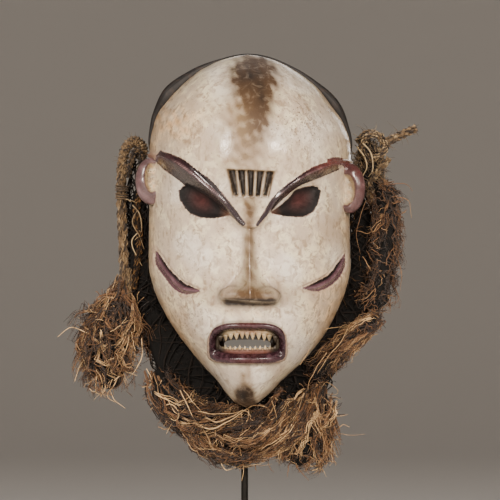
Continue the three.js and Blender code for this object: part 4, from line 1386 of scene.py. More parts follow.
@dataclass
class Ear:
    """One small ear: a curled rim round a rough scooped hollow."""

    name: str
    u: float
    v: float
    reach: float
    tall: float
    scoop_u: float
    scoop_v: float
    scoop_reach: float
    scoop_tall: float
    d: float = 33.0
    deep: float = 9.0
    redness: float = 0.1

    def build(self) -> Object:
        """Builds the ear from a sphere that is pressed in at its hollow.

        Returns:
            The object.
        """
        bm = bmesh.new()
        bmesh.ops.create_uvsphere(bm, u_segments=72, v_segments=48, radius=1)
        flat = rows_of(bm.verts)
        u = self.u + flat[:, 0] * self.reach
        v = self.v + flat[:, 2] * self.tall
        out = -flat[:, 1]
        flattened = np.sign(out) * abs(out) ** 0.75
        d = self.d + flattened * self.deep
        press = self.hollow(u, v)
        d = np.where(out > 0, d - 6.5 * press * np.sqrt(np.maximum(out, 0)), d)
        d = d + 0.25 * ripple(u, v, 8, 41) + 0.5 * press * ripple(u, v, 3.2, 42)
        put(bm.verts, world(u, v, d))
        bmesh.ops.recalc_face_normals(bm, faces=bm.faces[:])
        return finished(self.name, bm)

    def hollow(self, u: Array, v: Array) -> Array:
        """Returns how far inside the scoop places lie, from 0 at its edge to 1."""
        off = ((u - self.scoop_u) / self.scoop_reach) ** 2 + ((v - self.scoop_v) / self.scoop_tall) ** 2
        return ramp(1.15, 0.45, off)

    def dress(self, obj: Object, clay: Material) -> None:
        """Stores where the ear's pink rim and its pale hollow lie, and gives it the head's paint."""
        u, v, d = places_of(obj.data)
        hollow = self.hollow(u, v) * (d > self.d - 2)
        high = ramp(0.1, 0.9, (v - self.v) / self.tall)
        paint(obj, "plum", 3 * (0.42 - hollow) + 0.5 * ripple(u, v, 6, 43))
        paint(obj, "gloss", 0.05 * (1 - hollow))
        paint(obj, "speckle", 0.6 * hollow)
        brick = ("#55231D", self.redness * (0.6 + 0.4 * high))
        rose = [("#675153", 1.0), ("#92777A", 0.3 + 0.5 * ripple(u, v, 9, 44)), brick]
        paint_colours(obj, "paint", rose)
        dirt = ramp(0.15, 0.5, hollow) * ramp(0.9, 0.5, hollow)
        rough = 0.5 + 0.5 * ripple(u, v, 5, 45)
        paint_colours(obj, "clay", [("#CBBEA6", 1.0), ("#A8875A", 0.7 * rough)])
        paint_colours(obj, "dirt", [("#4B3623", 0.45 * dirt)])
        settle(obj, clay, ["mask"])


@dataclass
class HairBand:
    """The blackened hair that shows as a band round the crown, from temple to temple."""

    start: Pair = (-80, 216)
    end: Pair = (88, 212)
    depth: float = 12.0
    deeper: float = 1.9
    root: float = 5.0
    comb_depth: float = 0.35

    SWELL = Stations([
        (0, 0.6), (0.12, 3.6), (0.2, 7.6), (0.3, 4.4), (0.42, 0.9), (0.5, 1.2), (0.6, 0.9),
        (0.72, 3.4), (0.81, 6.2), (0.9, 3), (1, 0.6),
    ])
    SECTION = [(-1, 0), (1, 0), (1, 0.35), (0.98, 0.8), (0.8, 0.94), (0.5, 1), (-1, 1), (-1, 0)]

    def build(self) -> Object:
        """Builds the band as a closed strip with combed lines along it.

        Returns:
            The object.
        """
        first, _ = FORM.polar(*self.start)
        last, _ = FORM.polar(*self.end)
        steps = np.linspace(0, 1, len(self.SECTION))
        out = np.array([value for value, _ in self.SECTION])
        front = np.array([value for _, value in self.SECTION])

        def place(s: Array, t: Array) -> Array:
            """Places the band's skin."""
            ends = [np.sin(np.clip(off * 30, 0, 1) * math.pi / 2) for off in (s, 1 - s)]
            closed = ends[0] * ends[1]
            angle = lerp(first, last, s)
            thick = self.SWELL(s)
            sideways = np.interp(t, steps, out)
            comb = self.comb_depth * np.sin(t * 64) * (sideways > 0)
            reach = np.where(sideways > 0, sideways * (thick + comb), -self.root) * closed
            depth = np.interp(t, steps, front) * (self.depth + self.deeper * thick) * closed
            return world(*FORM.around(angle, FORM.reach(angle) + reach), depth)

        obj = swept("hair_band", along=150, across=56, place=place)
        u, v, d = places_of(obj.data)
        paint(obj, "comb", 0.5 + 0.5 * np.sin(d * 2.2 + ripple(u, v, 20, 51)))
        settle(obj, BlackenedHair().material(), ["mask"])
        return obj


# Raffia

TUBE_SIDES = 4
MERGE_GAP = 1e-7


@dataclass
class Strand:
    """One fibre: the places that it follows, its radius in millimetres and its tone from 0, dark, to 1."""

    places: Array
    radius: float
    tone: float
    tip: float = 0.35


def laid(name: str, strands: list[Strand]) -> Object:
    """Lays fibres as thin tubes in one mesh and stores each one's tone.

    Args:
        name: The piece's name.
        strands: The fibres.

    Returns:
        The object.
    """
    curve = bpy.data.curves.new(name, "CURVE")
    curve.dimensions = "3D"
    curve.bevel_depth = MM
    curve.bevel_resolution = 0
    curve.use_fill_caps = True
    for strand in strands:
        count = len(strand.places)
        spline = curve.splines.new("POLY")
        spline.points.add(count - 1)
        rows = np.ones((count, 4))
        rows[:, :3] = world(*strand.places.T)
        spline.points.foreach_set("co", rows.ravel())
        along = np.linspace(0, 1, count)
        radii = strand.radius * lerp(1.0, strand.tip, ramp(0.45, 1.0, along))
        spline.points.foreach_set("radius", radii)
    drawn = linked(name + "_lines", curve)
    mesh = final_mesh(drawn)
    mesh.name = name
    bpy.data.objects.remove(drawn)
    obj = linked(name, mesh)
    caps = [np.full(2 * TUBE_SIDES, strand.tone) for strand in reversed(strands)]
    walls = [np.full(len(strand.places) * TUBE_SIDES, strand.tone) for strand in strands]
    paint(obj, "tone", np.concatenate(caps + walls))
    bm = bmesh.new()
    bm.from_mesh(mesh)
    bmesh.ops.remove_doubles(bm, verts=bm.verts[:], dist=MERGE_GAP)
    into(mesh, bm)
    return obj


class Bundle:
    """The room of one fibre bundle: a guide line with a half-width and a half-depth along it."""

    def __init__(self, path: Places, widths: Places, depths: Places) -> None:
        """Fits the guide line through places and its half sizes to stations."""
        self.route = Route(path)
        self.widths = Stations(widths)
        self.depths = Stations(depths)

    def inside(self, s: Array, across: Array, forward: Array) -> Array:
        """Returns places at shares s of the guide, off it by shares of its half-width and half-depth."""
        ahead = self.route(s + 0.02) - self.route(s - 0.02)
        out = unit(np.stack([ahead[:, 1], -ahead[:, 0], np.zeros(len(s))], axis=-1))
        places = self.route(s) + out * (across * self.widths(s))[:, None]
        places[:, 2] += forward * self.depths(s)
        return places

    def core(self, name: str, share: float) -> Object:
        """Builds the dark heart of the bundle, a share of its size, which shows between its fibres as painted
        shade; in the net it also stands for the matted dark cords.
        """

        def place(s: Array, t: Array) -> Array:
            """Places the heart's skin."""
            ends = np.sqrt(np.clip(1 - abs(2 * s - 1) ** 6, 0, 1))
            lump = share * ends * (1 + 0.12 * np.sin(s * 41 + 3 * np.sin(t * math.tau)))
            round_t = t * math.tau
            places = self.inside(lerp(0.03, 0.97, s), np.cos(round_t) * lump, np.sin(round_t) * lump)
            return world(*FORM.keep_out(places, 0.6).T)

        obj = swept(name, along=60, across=20, place=place)
        paint(obj, "tone", np.full(len(obj.data.vertices), -0.1))
        return obj


@dataclass
class Flow:
    """Fibres that run along one bundle, each over a part of it.

    They begin at a share of it and span a share of it. They waver by curl, in waves of curl_size, and stray
    from each other in locks by loose, all in millimetres.
    """

    bundle: Bundle
    count: int
    begin: Pair = (0.0, 0.5)
    span: Pair = (0.3, 0.7)
    curl: Pair = (0.6, 2.2)
    curl_size: float = 13.0
    shell: float = 0.45
    drift: float = 0.6
    flare: float = 0.25
    radius: Pair = (0.17, 0.4)
    tone: Pair = (0.0, 0.85)
    lock: int = 5
    loose: float = 1.1
    points: int = 11

    def waves(self, share: Array, length: float, size: float, rng: Random) -> Array:
        """Returns how far a fibre of the given length wavers from its line, one row a point."""
        made = np.zeros((len(share), 3))
        for axis in range(3):
            turns = length / (self.curl_size * rng.uniform(0.6, 1.6))
            phase = rng.uniform(0, math.tau)
            wave = np.sin(share * turns * math.tau + phase)
            wave = wave + 0.5 * np.sin(share * turns * 2.3 * math.tau - phase)
            made[:, axis] = size * wave * ramp(-0.2, 0.5, share)
        return made

    def strands(self, rng: Random) -> list[Strand]:
        """Draws the fibres with the piece's own random numbers."""
        made = []
        share = np.linspace(0, 1, self.points)
        for _ in range(self.count // self.lock):
            start = rng.uniform(*self.begin)
            end = min(1.0, start + rng.uniform(*self.span))
            angle = rng.uniform(0, math.tau) + share * rng.normal(0, self.drift)
            depth = rng.uniform() ** self.shell
            out = depth + self.flare * rng.uniform() * share**2
            middle = self.bundle.inside(lerp(start, end, share), out * np.cos(angle), out * np.sin(angle))
            length = (end - start) * self.bundle.route.length
            middle += self.waves(share, length, rng.uniform(*self.curl), rng)
            # Painted shade: fibres that lie nearer the bundle's middle get darker tones
            tone = lerp(*self.tone, rng.uniform() ** 1.7) * lerp(0.2, 1.0, depth)
            for _ in range(self.lock):
                apart = rng.normal(0, self.loose, 3) * lerp(0.5, 1.6, share)[:, None]
                places = middle + apart + self.waves(share, length, self.loose * 0.6, rng)
                radius = rng.uniform(*self.radius)
                made.append(Strand(FORM.keep_out(places, 0.5 + radius), radius, tone + rng.normal(0, 0.12)))
        return made


@dataclass
class Tangle:
    """Short crooked fibres that lie any way round on a bundle's surface, size long on average."""

    bundle: Bundle
    count: int
    tone: Pair
    size: float

    def strands(self, rng: Random) -> list[Strand]:
        """Draws the fibres with the piece's own random numbers."""
        made = []
        for _ in range(self.count):
            s = np.array([rng.uniform(0.04, 0.97)])
            angle = rng.uniform(0, math.tau)
            at = self.bundle.inside(s, np.array([math.cos(angle)]), np.array([math.sin(angle)]))[0]
            steps = unit(rng.normal(0, 1, (9, 3)) * 0.55 + rng.normal(0, 1, 3))
            places = at + np.cumsum(steps, axis=0) * self.size * rng.uniform(0.6, 1.5) / 9
            places -= places.mean(0) - at
            shade = lerp(*self.tone, rng.uniform() ** 1.8)
            made.append(Strand(FORM.keep_out(places, 0.9), rng.uniform(0.16, 0.36), shade))
        return made


@dataclass
class Rope:
    """A laid rope: fibres twisted in strands and the strands twisted together."""

    path: Places
    radius: Places
    pitch: float = 15.0
    fibre_count: int = 8
    tone: Pair = (0.3, 0.75)
    strand_count: int = 3
    fuzz: float = 0.25
    step: float = 1.1

    def strands(self, rng: Random) -> list[Strand]:
        """Draws the fibres with the piece's own random numbers."""
        route = Route(self.path)
        s = np.linspace(0, 1, int(route.length / self.step))
        ahead = unit(route(s + 0.01) - route(s - 0.01))
        side = unit(np.cross(ahead, [0, 0, 1.0]))
        up = np.cross(side, ahead)
        size = Stations(self.radius)(s)
        turn = s * route.length / self.pitch * math.tau

        def off(angle: Array, reach: Array) -> Array:
            """Returns steps away from the rope's middle line."""
            return (side * np.cos(angle)[:, None] + up * np.sin(angle)[:, None]) * reach[:, None]

        made = []
        for i in range(self.strand_count):
            centre = route(s) + off(turn + i * math.tau / self.strand_count, size * 0.5)
            for j in range(self.fibre_count):
                inner = -turn * 1.7 + j * math.tau / self.fibre_count + rng.uniform(-0.3, 0.3)
                wide = size * 0.44 * rng.uniform(0.85, 1.12)
                wide = wide + self.fuzz * np.sin(s * rng.uniform(30, 70) + rng.uniform(0, 6))
                places = FORM.keep_out(centre + off(inner, wide), 0.8)
                made.append(Strand(places, float(size.mean()) * 0.17, rng.uniform(*self.tone), tip=0.9))
        return made


@dataclass
class Whiskers:
    """Short fibre ends that stick out of a rope, length long on average."""

    path: Places
    count: int
    length: float
    tone: Pair

    def strands(self, rng: Random) -> list[Strand]:
        """Draws the fibres with the piece's own random numbers."""
        route = Route(self.path)
        made = []
        for _ in range(self.count):
            at = route(np.array([rng.uniform()]))[0]
            way = rng.normal(0, 1, 3)
            way /= np.linalg.norm(way)
            bend = rng.normal(0, 0.4, 3)
            t = np.linspace(0, 1, 6)[:, None] * self.length * rng.uniform(0.5, 1.4)
            places = at + way * (2.4 + t) + bend * t**2 / self.length
            made.append(Strand(FORM.keep_out(places, 0.8), 0.2, rng.uniform(*self.tone)))
        return made


@dataclass
class Wraps:
    """Cords wound round the left rope, each given as its height and its tone."""

    turns: Places
    middle: Pair = (-105.2, 5.0)
    reach: float = 5.3

    def strands(self, rng: Random) -> list[Strand]:
        """Draws the cords, which take no random numbers."""
        share = np.linspace(0, 1, 60)
        angle = share * 2.6 * math.tau
        u = self.middle[0] + self.reach * np.cos(angle)
        d = self.middle[1] + self.reach * np.sin(angle)
        made = []
        for v, tone in self.turns:
            made.append(Strand(np.stack([u, v + share * 5, d], axis=-1), 0.8, tone, tip=0.9))
        return made


@dataclass
class Netting:
    """Slanting cords that cross all round a bundle."""

    bundle: Bundle
    count: int = 11

    def strands(self, rng: Random) -> list[Strand]:
        """Draws the cords with the piece's own random numbers."""
        made = []
        share = np.linspace(0, 1, 170)
        for way, i in itertools.product((-1, 1), range(self.count)):
            phase = rng.uniform(0, 6, 4)
            bend = 0.5 * np.sin(share * 31 + phase[0]) + 0.35 * np.sin(share * 77 + phase[1])
            angle = way * share * 7 * math.tau + i * math.tau / self.count + bend
            sway = 0.97 + 0.1 * np.sin(share * 43 + phase[2]) + 0.06 * np.sin(share * 110 + phase[3])
            places = FORM.keep_out(self.bundle.inside(share, sway * np.cos(angle), sway * np.sin(angle)), 0.9)
            made.append(Strand(places, rng.uniform(0.4, 0.75), rng.uniform(0.0, 0.3), tip=1.0))
        return made


def stray(places: Places, radius: float, tone: float, bumps: float) -> Strand:
    """Draws one loose fibre from root to tip through given places, wavering by bumps."""
    share = np.linspace(0, 1, 22)
    drawn = Route(places)(share)
    seed = abs(places[0][0] * 7.1 + places[-1][1] * 3.3)
    for axis in range(3):
        drawn[:, axis] += bumps * np.sin(share * (9 + 3 * axis) + seed + axis) * np.sin(share * math.pi)
    return Strand(drawn, radius, tone, tip=0.5)


@dataclass
class Piece:
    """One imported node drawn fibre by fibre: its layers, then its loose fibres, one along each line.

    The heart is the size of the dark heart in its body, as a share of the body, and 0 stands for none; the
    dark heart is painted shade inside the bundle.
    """

    node: str
    seed: int
    layers: list[Flow | Tangle | Rope | Whiskers | Wraps | Netting]
    lines: list[Places] = field(default_factory=list)
    radius: Pair = (0.35, 0.6)
    tone: Pair = (0.6, 0.95)
    bumps: float = 0.5
    body: Bundle | None = None
    heart: float = 0.0
    slot: Slot = Slot.RAFFIA

    def strands(self) -> list[Strand]:
        """Draws all the fibres of the piece."""
        rng = np.random.default_rng(self.seed)
        made = [strand for layer in self.layers for strand in layer.strands(rng)]
        for line in self.lines:
            made.append(stray(line, rng.uniform(*self.radius), rng.uniform(*self.tone), self.bumps))
        return made


@dataclass
class Collar:
    """The raffia collar: net, ropes, tassel, fringe, rolls and brush."""

    raffia: Material
    rope: Material
    net: Material

    def tassel(self) -> Piece:
        """The frayed tassel under the left rope."""
        path = [(-106, 100, 5), (-109, 78, 6), (-116, 58, 8), (-117, 34, 8), (-110, 12, 6)]
        widths = [(0, 7), (0.2, 20), (0.5, 25), (0.8, 21), (1, 14)]
        body = Bundle(path, widths, [(0, 7), (0.4, 16), (0.8, 12), (1, 7)])
        path = [(-104, 112, 5), (-108, 92, 6), (-118, 74, 8), (-128, 58, 8), (-134, 46, 7)]
        crown = Bundle(path, [(0, 5), (0.4, 13), (1, 12)], [(0, 6), (0.5, 12), (1, 7)])
        layers = [
            Flow(body, 760, (0, 0.6), (0.2, 0.5), (1, 4.4), 16, flare=0.75, radius=(0.2, 0.52)),
            Tangle(body, 260, (0.0, 0.95), 20),
            Flow(crown, 300, span=(0.3, 0.6), curl=(1, 3), curl_size=14, flare=0.35),
        ]
        lines = [
            [(-116, 61, 12), (-132, 62, 12), (-150, 67, 10), (-160, 59, 9)],
            [(-124, 54, 12), (-134, 42, 12), (-142, 32, 11), (-145.5, 21, 10)],
            [(-118, 48, 14), (-130, 44, 13), (-138, 48, 12), (-134, 56, 11)],
            [(-118, 42, 14), (-126, 32, 13), (-127, 20, 12), (-127, 9, 11)],
            [(-112, 38, 15), (-119, 24, 14), (-120, 14, 13), (-123, 8, 12)],
            [(-110, 30, 14), (-115, 16, 13), (-112, 6, 12), (-102, -2, 11)],
            [(-104, 34, 14), (-112, 18, 13), (-117, 8, 12), (-110, 3, 11)],
            [(-88, 58, 14), (-88, 44, 14), (-92, 32, 13), (-100, 24, 12)],
            [(-84, 32, 8), (-80, 24, 8), (-82, 17, 8), (-88, 16, 8)],
            [(-100, 62, 18), (-112, 58, 18), (-124, 56, 15), (-136, 52, 12)],
            [(-98, 66, 18), (-101, 50, 19), (-106, 38, 18), (-114, 30, 15)],
        ]
        return Piece("tassel_left", 101, layers, lines, body=body, heart=0.7)

    def fringe(self) -> Piece:
        """The frayed band beside the right cheek."""
        path = [(112, 194, 4), (120, 176, 5), (121.4, 150, 6), (118.6, 120, 6), (113, 94, 5), (102, 82, 5)]
        widths = [(0, 6), (0.25, 13), (0.6, 12), (0.85, 14), (1, 9)]
        body = Bundle(path, widths, [(0, 6), (0.4, 12), (1, 9)])
        layers = [
            Flow(body, 520, (0, 0.75), (0.1, 0.3), (0.8, 2.6), 10, tone=(0.0, 0.5), flare=0.5),
            Tangle(body, 480, (0.0, 0.65), 14),
        ]
        lines = [
            [(112, 200, 6), (124, 190, 8), (138, 190, 8), (144, 184, 7)],
            [(122, 172, 8), (132, 178, 8), (140, 176, 8), (143, 161, 7)],
            [(122, 140, 10), (130, 128, 10), (134, 112, 9), (133, 98, 8)],
            [(96, 150, 8), (106, 148, 10), (118, 153, 10)],
            [(101, 128, 10), (106, 120, 11), (109, 114, 11)],
            [(104, 176, 9), (98, 160, 10), (96, 146, 9), (99, 130, 8)],
            [(116, 110, 12), (110, 98, 12), (102, 92, 11), (94, 90, 9)],
        ]
        return Piece("fringe_right", 102, layers, lines, (0.25, 0.4), (0.3, 0.7), body=body, heart=0.75)

    def jaw_roll(self) -> Piece:
        """The tan roll along the right jaw."""
        path = [(119, 78, 6), (104, 68, 8), (86, 52, 9), (68, 35, 10), (56, 20, 10)]
        body = Bundle(path, [(0, 7), (0.3, 9), (0.8, 10), (1, 8)], [(0, 6), (0.5, 9), (1, 8)])
        layers = [
            Flow(body, 440, span=(0.2, 0.5), curl=(0.4, 1.8), curl_size=18, tone=(0.1, 0.85)),
            Tangle(body, 220, (0.0, 0.8), 11),
        ]
        lines = [
            [(88, 66, 16), (80, 52, 18), (68, 38, 20), (62, 28, 20)],
            [(70, 46, 20), (62, 34, 22), (56, 24, 22), (54, 14, 20)],
            [(47, 36, 40), (52, 44, 40), (58, 56, 36), (70, 66, 26), (82, 68, 18)],
        ]
        return Piece("jaw_roll_right", 103, layers, lines, (0.35, 0.5), (0.6, 0.9), body=body, heart=0.6)

    def jaw_tuft(self) -> Piece:
        """The bundle along the left jaw, which gathers to a knot under the chin."""
        path = [(-78, 34, 4), (-66, 8, 6), (-50, -8, 10), (-26, -10, 14), (-4, -4, 17)]
        widths = [(0, 10), (0.3, 18), (0.6, 15), (0.85, 8), (1, 3.5)]
        body = Bundle(path, widths, [(0, 9), (0.5, 13), (1, 4)])
        path = [(-62, 4, 8), (-50, -14, 10), (-38, -32, 9), (-26, -42, 8)]
        drop = Bundle(path, [(0, 9), (0.5, 9), (1, 6)], [(0, 8), (1, 6)])
        layers = [
            Flow(body, 600, (0, 0.65), (0.3, 0.6), (0.5, 2.2), 18, drift=0.9, flare=0.4),
            Tangle(body, 300, (0.0, 0.8), 14),
            Flow(drop, 220, span=(0.35, 0.8), curl=(0.5, 2.0), curl_size=17, tone=(0.0, 0.75)),
        ]
        lines = [
            [(-55, 14, 22), (-49, 1, 24), (-42, -12, 22), (-34, -24, 16)],
            [(-52, 14, 22), (-44, 4, 24), (-37, -4, 22)],
            [(-66, 6, 16), (-60, -4, 20), (-56, -8, 18), (-62, -14, 16), (-67, -24, 14)],
            [(-74, -18, 8), (-66, -20, 10), (-60, -18, 12)],
            [(-70, 0, 14), (-62, 2, 20), (-56, -6, 21), (-60, -12, 18), (-68, -6, 15)],
            [(-36, -18, 20), (-31, -28, 18), (-28, -36, 14), (-26, -44, 10)],
            [(-25, -20, 20), (-24, -32, 17)],
        ]
        return Piece("jaw_tuft_left", 104, layers, lines, (0.35, 0.55), body=body, heart=0.65)

    def beard(self) -> Piece:
        """The golden-brown brush under the right jaw."""
        path = [(68, 16, 8), (60, -2, 11), (53, -20, 13), (47, -38, 11), (42, -52, 7)]
        widths = [(0, 12), (0.3, 20), (0.6, 24), (0.85, 22), (1, 14)]
        body = Bundle(path, widths, [(0, 9), (0.4, 14), (0.8, 12), (1, 7)])
        path = [(62, 20, 12), (56, 0, 16), (44, -18, 18), (26, -32, 15), (6, -40, 12)]
        sweep = Bundle(path, [(0, 9), (0.4, 11), (0.8, 9), (1, 6)], [(0, 8), (0.5, 8), (1, 6)])
        thick = {"tone": (0.05, 0.95), "radius": (0.18, 0.46), "flare": 0.6}
        layers = [
            Flow(body, 740, (0, 0.6), (0.25, 0.6), (0.5, 2.6), 20, **thick),
            Tangle(body, 320, (0.0, 0.85), 16),
            Flow(sweep, 330, (0, 0.45), (0.4, 0.9), (0.3, 1.4), 28, tone=(0.2, 1.0)),
        ]
        lines = [
            [(50, -4, 18), (65, -11, 16), (80, -9, 14), (88.5, -7, 12)],
            [(58, -10, 18), (67, -19, 16), (86, -24.5, 14), (103, -24, 12)],
            [(74.5, -1, 12), (78, -13, 12), (81.5, -25, 11)],
            [(52, -38, 12), (70, -32, 10), (80.5, -28, 9), (82, -33, 9)],
            [(48, -44, 10), (60, -47, 9), (78, -48, 8), (78, -51, 8)],
            [(56, 0, 16), (64, 10, 14), (66, 16, 13), (69, 21, 12), (80, 13, 11), (79, 10, 11), (65, 12, 10)],
            [(42, -44, 10), (37, -54, 8), (37, -61, 7)],
            [(44, -50, 8), (47, -55, 7), (55, -64, 6)],
            [(20, -42, 9), (21.5, -53, 8), (25, -57, 8)],
            [(60, -46, 8), (67, -54, 7), (70, -61, 6)],
            [(30, -38, 14), (34, -22, 22), (44, -6, 24), (50, 10, 22)],
            [(62, -14, 16), (76, -20, 14), (84, -16, 13), (90, -18, 12)],
            [(54, -30, 14), (66, -40, 12), (74, -38, 10), (80, -44, 9)],
            [(48, -40, 12), (58, -52, 10), (68, -50, 9)],
        ]
        return Piece("beard_right", 105, layers, lines, (0.25, 0.45), (0.35, 0.9), body=body, heart=0.55)

    def chin_roll(self) -> Piece:
        """The rolled lower edge of the net under the chin, with the strands that hang in front of the rod."""
        path = [(-44, -28, 6), (-28, -40, 8), (-8, -45, 9), (10, -43, 9), (22, -36, 9)]
        body = Bundle(path, [(0, 6), (0.5, 7), (1, 6)], [(0, 6), (0.5, 8), (1, 6)])
        path = [(38, 12, 16), (26, -6, 20), (10, -18, 22), (-12, -24, 20), (-34, -22, 14)]
        bib = Bundle(path, [(0, 8), (0.5, 13), (1, 8)], [(0, 5), (1, 5)])
        layers = [
            Flow(body, 280, span=(0.25, 0.6), curl=(0.4, 1.8), curl_size=16, tone=(0.0, 0.85)),
            Tangle(body, 180, (0.0, 0.7), 13),
            Flow(bib, 240, span=(0.25, 0.6), curl=(0.6, 2.6), curl_size=18, tone=(0.0, 0.85)),
            Tangle(bib, 120, (0.0, 0.8), 16),
        ]
        lines = [
            [(0, -3, 24), (8, 1, 25), (16, 0.5, 24), (21, -2.5, 22), (22, -9, 18)],
            [(-2, -3, 24), (3, -5, 25), (2.5, -12, 24), (-3, -22, 20), (-6, -28, 16)],
            [(-3, -5, 22), (-2, -22, 20), (-4, -33, 18), (-1, -54, 12), (-2.5, -64, 10)],
            [(23, 5, 26), (27, -7, 26), (27, -15, 22)],
            [(-20, -47, 12), (-19, -51, 12), (-16, -54.5, 12), (-3, -51, 12)],
            [(-31, -25, 16), (-27, -37, 14), (-22, -43, 12)],
            [(-34, -9, 22), (-24, -13, 25), (-12, -9, 25), (-2, -3, 24)],
            [(-40, -4, 22), (-28, -6, 25), (-14, -6, 26), (-1, -3.5, 24)],
            [(-44, -14, 20), (-30, -19, 24), (-16, -14, 25), (-1, -4, 24)],
        ]
        return Piece("chin_roll", 106, layers, lines, (0.4, 0.65), (0.65, 0.95), bumps=0.3)

    def left_rope(self) -> Piece:
        """The twisted rope on the left, folded over at its top and wrapped twice."""
        path = [
            (-102, 92, 3), (-104, 135, 4), (-105.4, 178, 5), (-104.8, 208, 5), (-101, 222, 4), (-94, 227, 3),
            (-88.4, 221, 1), (-89, 212, -2),
        ]
        second = [(-99, 118, 6), (-98.5, 104, 7), (-101, 90, 7), (-104, 80, 6)]
        knot = [(-101, 196, 4), (-97, 210, 7), (-93, 219, 6), (-88, 213, 3), (-90, 200, 3)]
        layers = [
            Rope(path, [(0, 4.2), (0.7, 4.5), (0.86, 5.4), (1, 4.4)], 15, 9, (0.0, 0.6)),
            Rope(second, [(0, 2.6), (1, 2.2)], 12, 5, (0.1, 0.6)),
            Rope(knot, [(0, 3.0), (1, 3.4)], 11, 6, (-0.1, 0.4)),
            Wraps([(177, 0.25), (184, 0.15)]),
            Whiskers(path, 110, 3.6, (0.1, 0.8)),
        ]
        lines = [
            [(-102, 177, 9), (-97, 175.5, 10), (-92, 174, 9)],
            [(-96, 172, 8), (-90, 164, 9), (-88, 150, 8), (-94, 142, 8)],
            [(-92, 168, 8), (-96, 156, 9), (-90, 146, 9), (-86, 134, 7)],
            [(-90, 150, 8), (-97, 140, 9), (-92, 128, 8), (-88, 120, 7)],
        ]
        return Piece("rope_left", 107, layers, lines, (0.45, 0.7), (0.5, 0.85), slot=Slot.ROPE)

    def right_rope(self) -> Piece:
        """The knotted rope end on the right, with its frayed stub and its loops."""
        stub = [(147, 238, 10), (136, 233, 9), (124, 227, 8), (118, 224, 8)]
        loops = [
            [
                (122, 224, 10), (114, 232, 12), (104, 230, 12), (100, 220, 8), (108, 212, 10), (118, 216, 12),
                (122, 224, 9),
            ],
            [(96, 226, 4), (106, 234, 6), (116, 230, 8), (118, 218, 6), (108, 208, 4), (98, 214, 4)],
            [(124, 212, 8), (114, 200, 8), (107, 190, 6), (108, 178, 6)],
            [(112, 214, 6), (102, 206, 5), (98, 196, 5), (106, 188, 6)],
        ]
        path = [(99, 224, 2), (106, 216, 3), (108, 200, 3), (111, 182, 3)]
        body = Bundle(path, [(0, 8), (0.5, 12), (1, 10)], [(0, 6), (1, 6)])
        layers = [
            Rope(stub, [(0, 3.6), (1, 4.2)], 13, tone=(0.0, 0.6)),
            *[Rope(loop, [(0, 3.1), (1, 2.8)], 12, 6, (-0.05, 0.7)) for loop in loops],
            Flow(body, 200, (0, 0.8), (0.1, 0.4), (0.8, 2.6), 10, tone=(0.0, 0.6)),
            Tangle(body, 220, (0.0, 0.7), 12),
            Whiskers(stub, 50, 5, (0.1, 0.6)),
            Whiskers(loops[1], 70, 6, (0.0, 0.7)),
            Whiskers(loops[2], 60, 5, (0.1, 0.8)),
        ]
        lines = [
            [(96, 222, 10), (102, 214, 12), (104, 204, 11), (100, 194, 9)],
            [(100, 226, 12), (108, 216, 14), (110, 204, 12), (106, 196, 9)],
        ]
        return Piece("rope_right", 108, layers, lines, (0.6, 0.9), (0.6, 0.9), 0.5, body, 0.8, Slot.ROPE)

    def net_collar(self) -> Piece:
        """The dark knotted net: slanting cords that cross over a matted heart, which is also painted shade
        inside the net.
        """
        path = [
            (-90, 210, -3), (-91, 165, -3), (-90, 120, -3), (-85, 86, -3), (-64, 46, -3), (-38, 8, -2),
            (-14, -18, 0), (14, -20, 0), (42, 6, -2), (68, 42, -3), (92, 80, -3), (100, 120, -3),
            (101, 160, -3), (98, 198, -3),
        ]
        widths = [
            (0, 8), (0.1, 13), (0.3, 18), (0.42, 23), (0.5, 25), (0.6, 21), (0.78, 14), (0.92, 12), (1, 7),
        ]
        body = Bundle(path, widths, [(0, 7), (0.5, 11), (1, 7)])
        cord = [(-89, 184, 4), (-93, 164, 6), (-90, 144, 6), (-92, 122, 6), (-95, 100, 6)]
        layers = [
            Netting(body),
            Tangle(body, 1000, (-0.2, 0.75), 13),
            Flow(body, 300, (0, 0.9), (0.04, 0.12), (0.5, 2.0), tone=(-0.1, 0.6)),
            Rope(cord, [(0, 3.4), (1, 3.0)], 13, 6, (0.0, 0.95)),
        ]
        return Piece("net_collar", 109, layers, body=body, heart=0.86, slot=Slot.NET)

    def lay(self, piece: Piece) -> None:
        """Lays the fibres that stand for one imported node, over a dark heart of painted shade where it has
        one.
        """
        finish = {Slot.RAFFIA: self.raffia, Slot.ROPE: self.rope, Slot.NET: self.net}[piece.slot]
        if piece.heart:
            heart = piece.body.core(piece.node + "_dark_core_and_shade", piece.heart)
            settle(heart, self.net, [piece.node])
        settle(laid(piece.node + "_fibres", piece.strands()), finish, [piece.node])

    def build(self) -> None:
        """Lays every bundle."""
        for make in (
            self.net_collar, self.left_rope, self.right_rope, self.tassel, self.fringe,
            self.jaw_roll, self.jaw_tuft, self.beard, self.chin_roll,
        ):
            self.lay(make())


# Studio


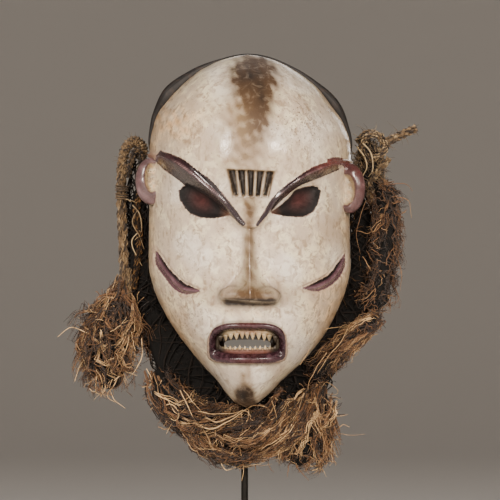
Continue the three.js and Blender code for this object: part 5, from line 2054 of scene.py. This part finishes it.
class Studio:
    """Camera, lights, floor and backdrop."""

    LENS = 298.2
    CAMERA_AT = (0.0046, -3.53, 0.3235)
    AIM = Vector((0.0, 0.0, 0.33))
    BEND = 3.0
    WALL = 5.0
    WORLD_STRENGTH = 0.28
    LIGHTS = [
        ("key_left", (-1.1, -1.75, 1.1), 0.5, 54, "#FFF2E6"),
        ("key_right", (1.1, -1.8, 1.1), 0.5, 52, "#FFF0E2"),
        ("fill_front", (0.0, -3.0, 0.9), 1.6, 13, "#FFF8F0"),
        ("top_back", (0.0, 1.3, 2.0), 1.2, 4, "#F4F8FF"),
        ("fill_back", (0.3, 1.6, 0.5), 0.8, 7, "#FBF8F4"),
    ]

    def camera(self) -> None:
        """Sets the camera level, in front of the face, where the photograph was taken from."""
        data = bpy.data.cameras.new("camera")
        data.sensor_width = 36
        data.lens = self.LENS
        data.clip_end = 60
        obj = linked("camera", data)
        obj.location = self.CAMERA_AT
        obj.rotation_euler = (math.pi / 2, 0, 0)
        bpy.context.scene.camera = obj

    def paper(self) -> None:
        """Rolls a pale paper sweep from the floor up behind the object and all round it."""
        bm = bmesh.new()
        bmesh.ops.create_circle(bm, cap_ends=True, segments=96, radius=self.BEND)
        rim = open_edges(bm)
        for step in range(1, 13):
            angle = step / 12 * math.pi / 2
            rim, verts = extruded(bm, rim)
            for vertex in verts:
                out = Vector((vertex.co.x, vertex.co.y, 0)).normalized()
                reach = self.BEND * (1 + math.sin(angle))
                vertex.co = (out.x * reach, out.y * reach, self.BEND * (1 - math.cos(angle)))
        for vertex in extruded(bm, rim)[1]:
            vertex.co.z += self.WALL
        obj = finished("paper_sweep", bm)
        obj.data.materials.append(StudioPaper().material())

    def light(self, name: str, at: tuple[float, float, float], size: float, power: float, tint: str) -> None:
        """Adds one soft square light at a place in metres, aimed at the mask, with its side and its watts."""
        data = bpy.data.lights.new(name, "AREA")
        data.shape = "SQUARE"
        data.size = size
        data.energy = power
        data.color = linear(tint)[:3]
        obj = linked(name, data)
        obj.location = at
        obj.rotation_euler = (self.AIM - Vector(at)).to_track_quat("-Z", "Y").to_euler()

    def build(self) -> None:
        """Sets up the whole studio."""
        self.camera()
        self.paper()
        for light in self.LIGHTS:
            self.light(*light)
        sky = bpy.data.worlds.new("soft_room")
        sky.use_nodes = True
        background = sky.node_tree.nodes["Background"]
        background.inputs["Color"].default_value = linear("#DAD8D4")
        background.inputs["Strength"].default_value = self.WORLD_STRENGTH
        bpy.context.scene.world = sky


def dress_stand() -> None:
    """Gives the steel rod and foot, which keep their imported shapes, their finish."""
    steel = WaxedSteel().material()
    for name in ("stand_rod", "stand_foot"):
        node = frame["nodes"][name]
        node.data.materials.clear()
        node.data.materials.append(steel)
        log.info("%s: packed shape with its own steel", name)


def main() -> None:
    """Builds every piece in order."""
    logging.basicConfig(level=logging.INFO, format="%(message)s")
    Studio().build()
    head = Head()
    face = head.build()
    head.dress(face)
    parts = MouthParts()
    parts.lips()
    parts.gums()
    parts.teeth()
    clay = face.data.materials[0]
    left = Ear("ear_left", -79.5, 192, 13.4, 20, -78.4, 195, 6.6, 13.4)
    right = Ear("ear_right", 88.8, 186, 13.8, 21.4, 86.2, 184.6, 8.0, 14, redness=0.8)
    for ear in (left, right):
        ear.dress(ear.build(), clay)
    HairBand().build()
    collar = Collar(
        raffia=PlantFibre("dry_raffia", "#1B0F08", "#78522F", "#DDBB88").material(),
        rope=PlantFibre("twisted_raffia_rope", "#1F150D", "#6B5538", "#BCA67E").material(),
        net=PlantFibre("dark_matted_net", "#030201", "#20160F", "#70522F", rough=0.95, sheen=0.0).material(),
    )
    collar.build()
    dress_stand()


if __name__ == "__main__":
    main()
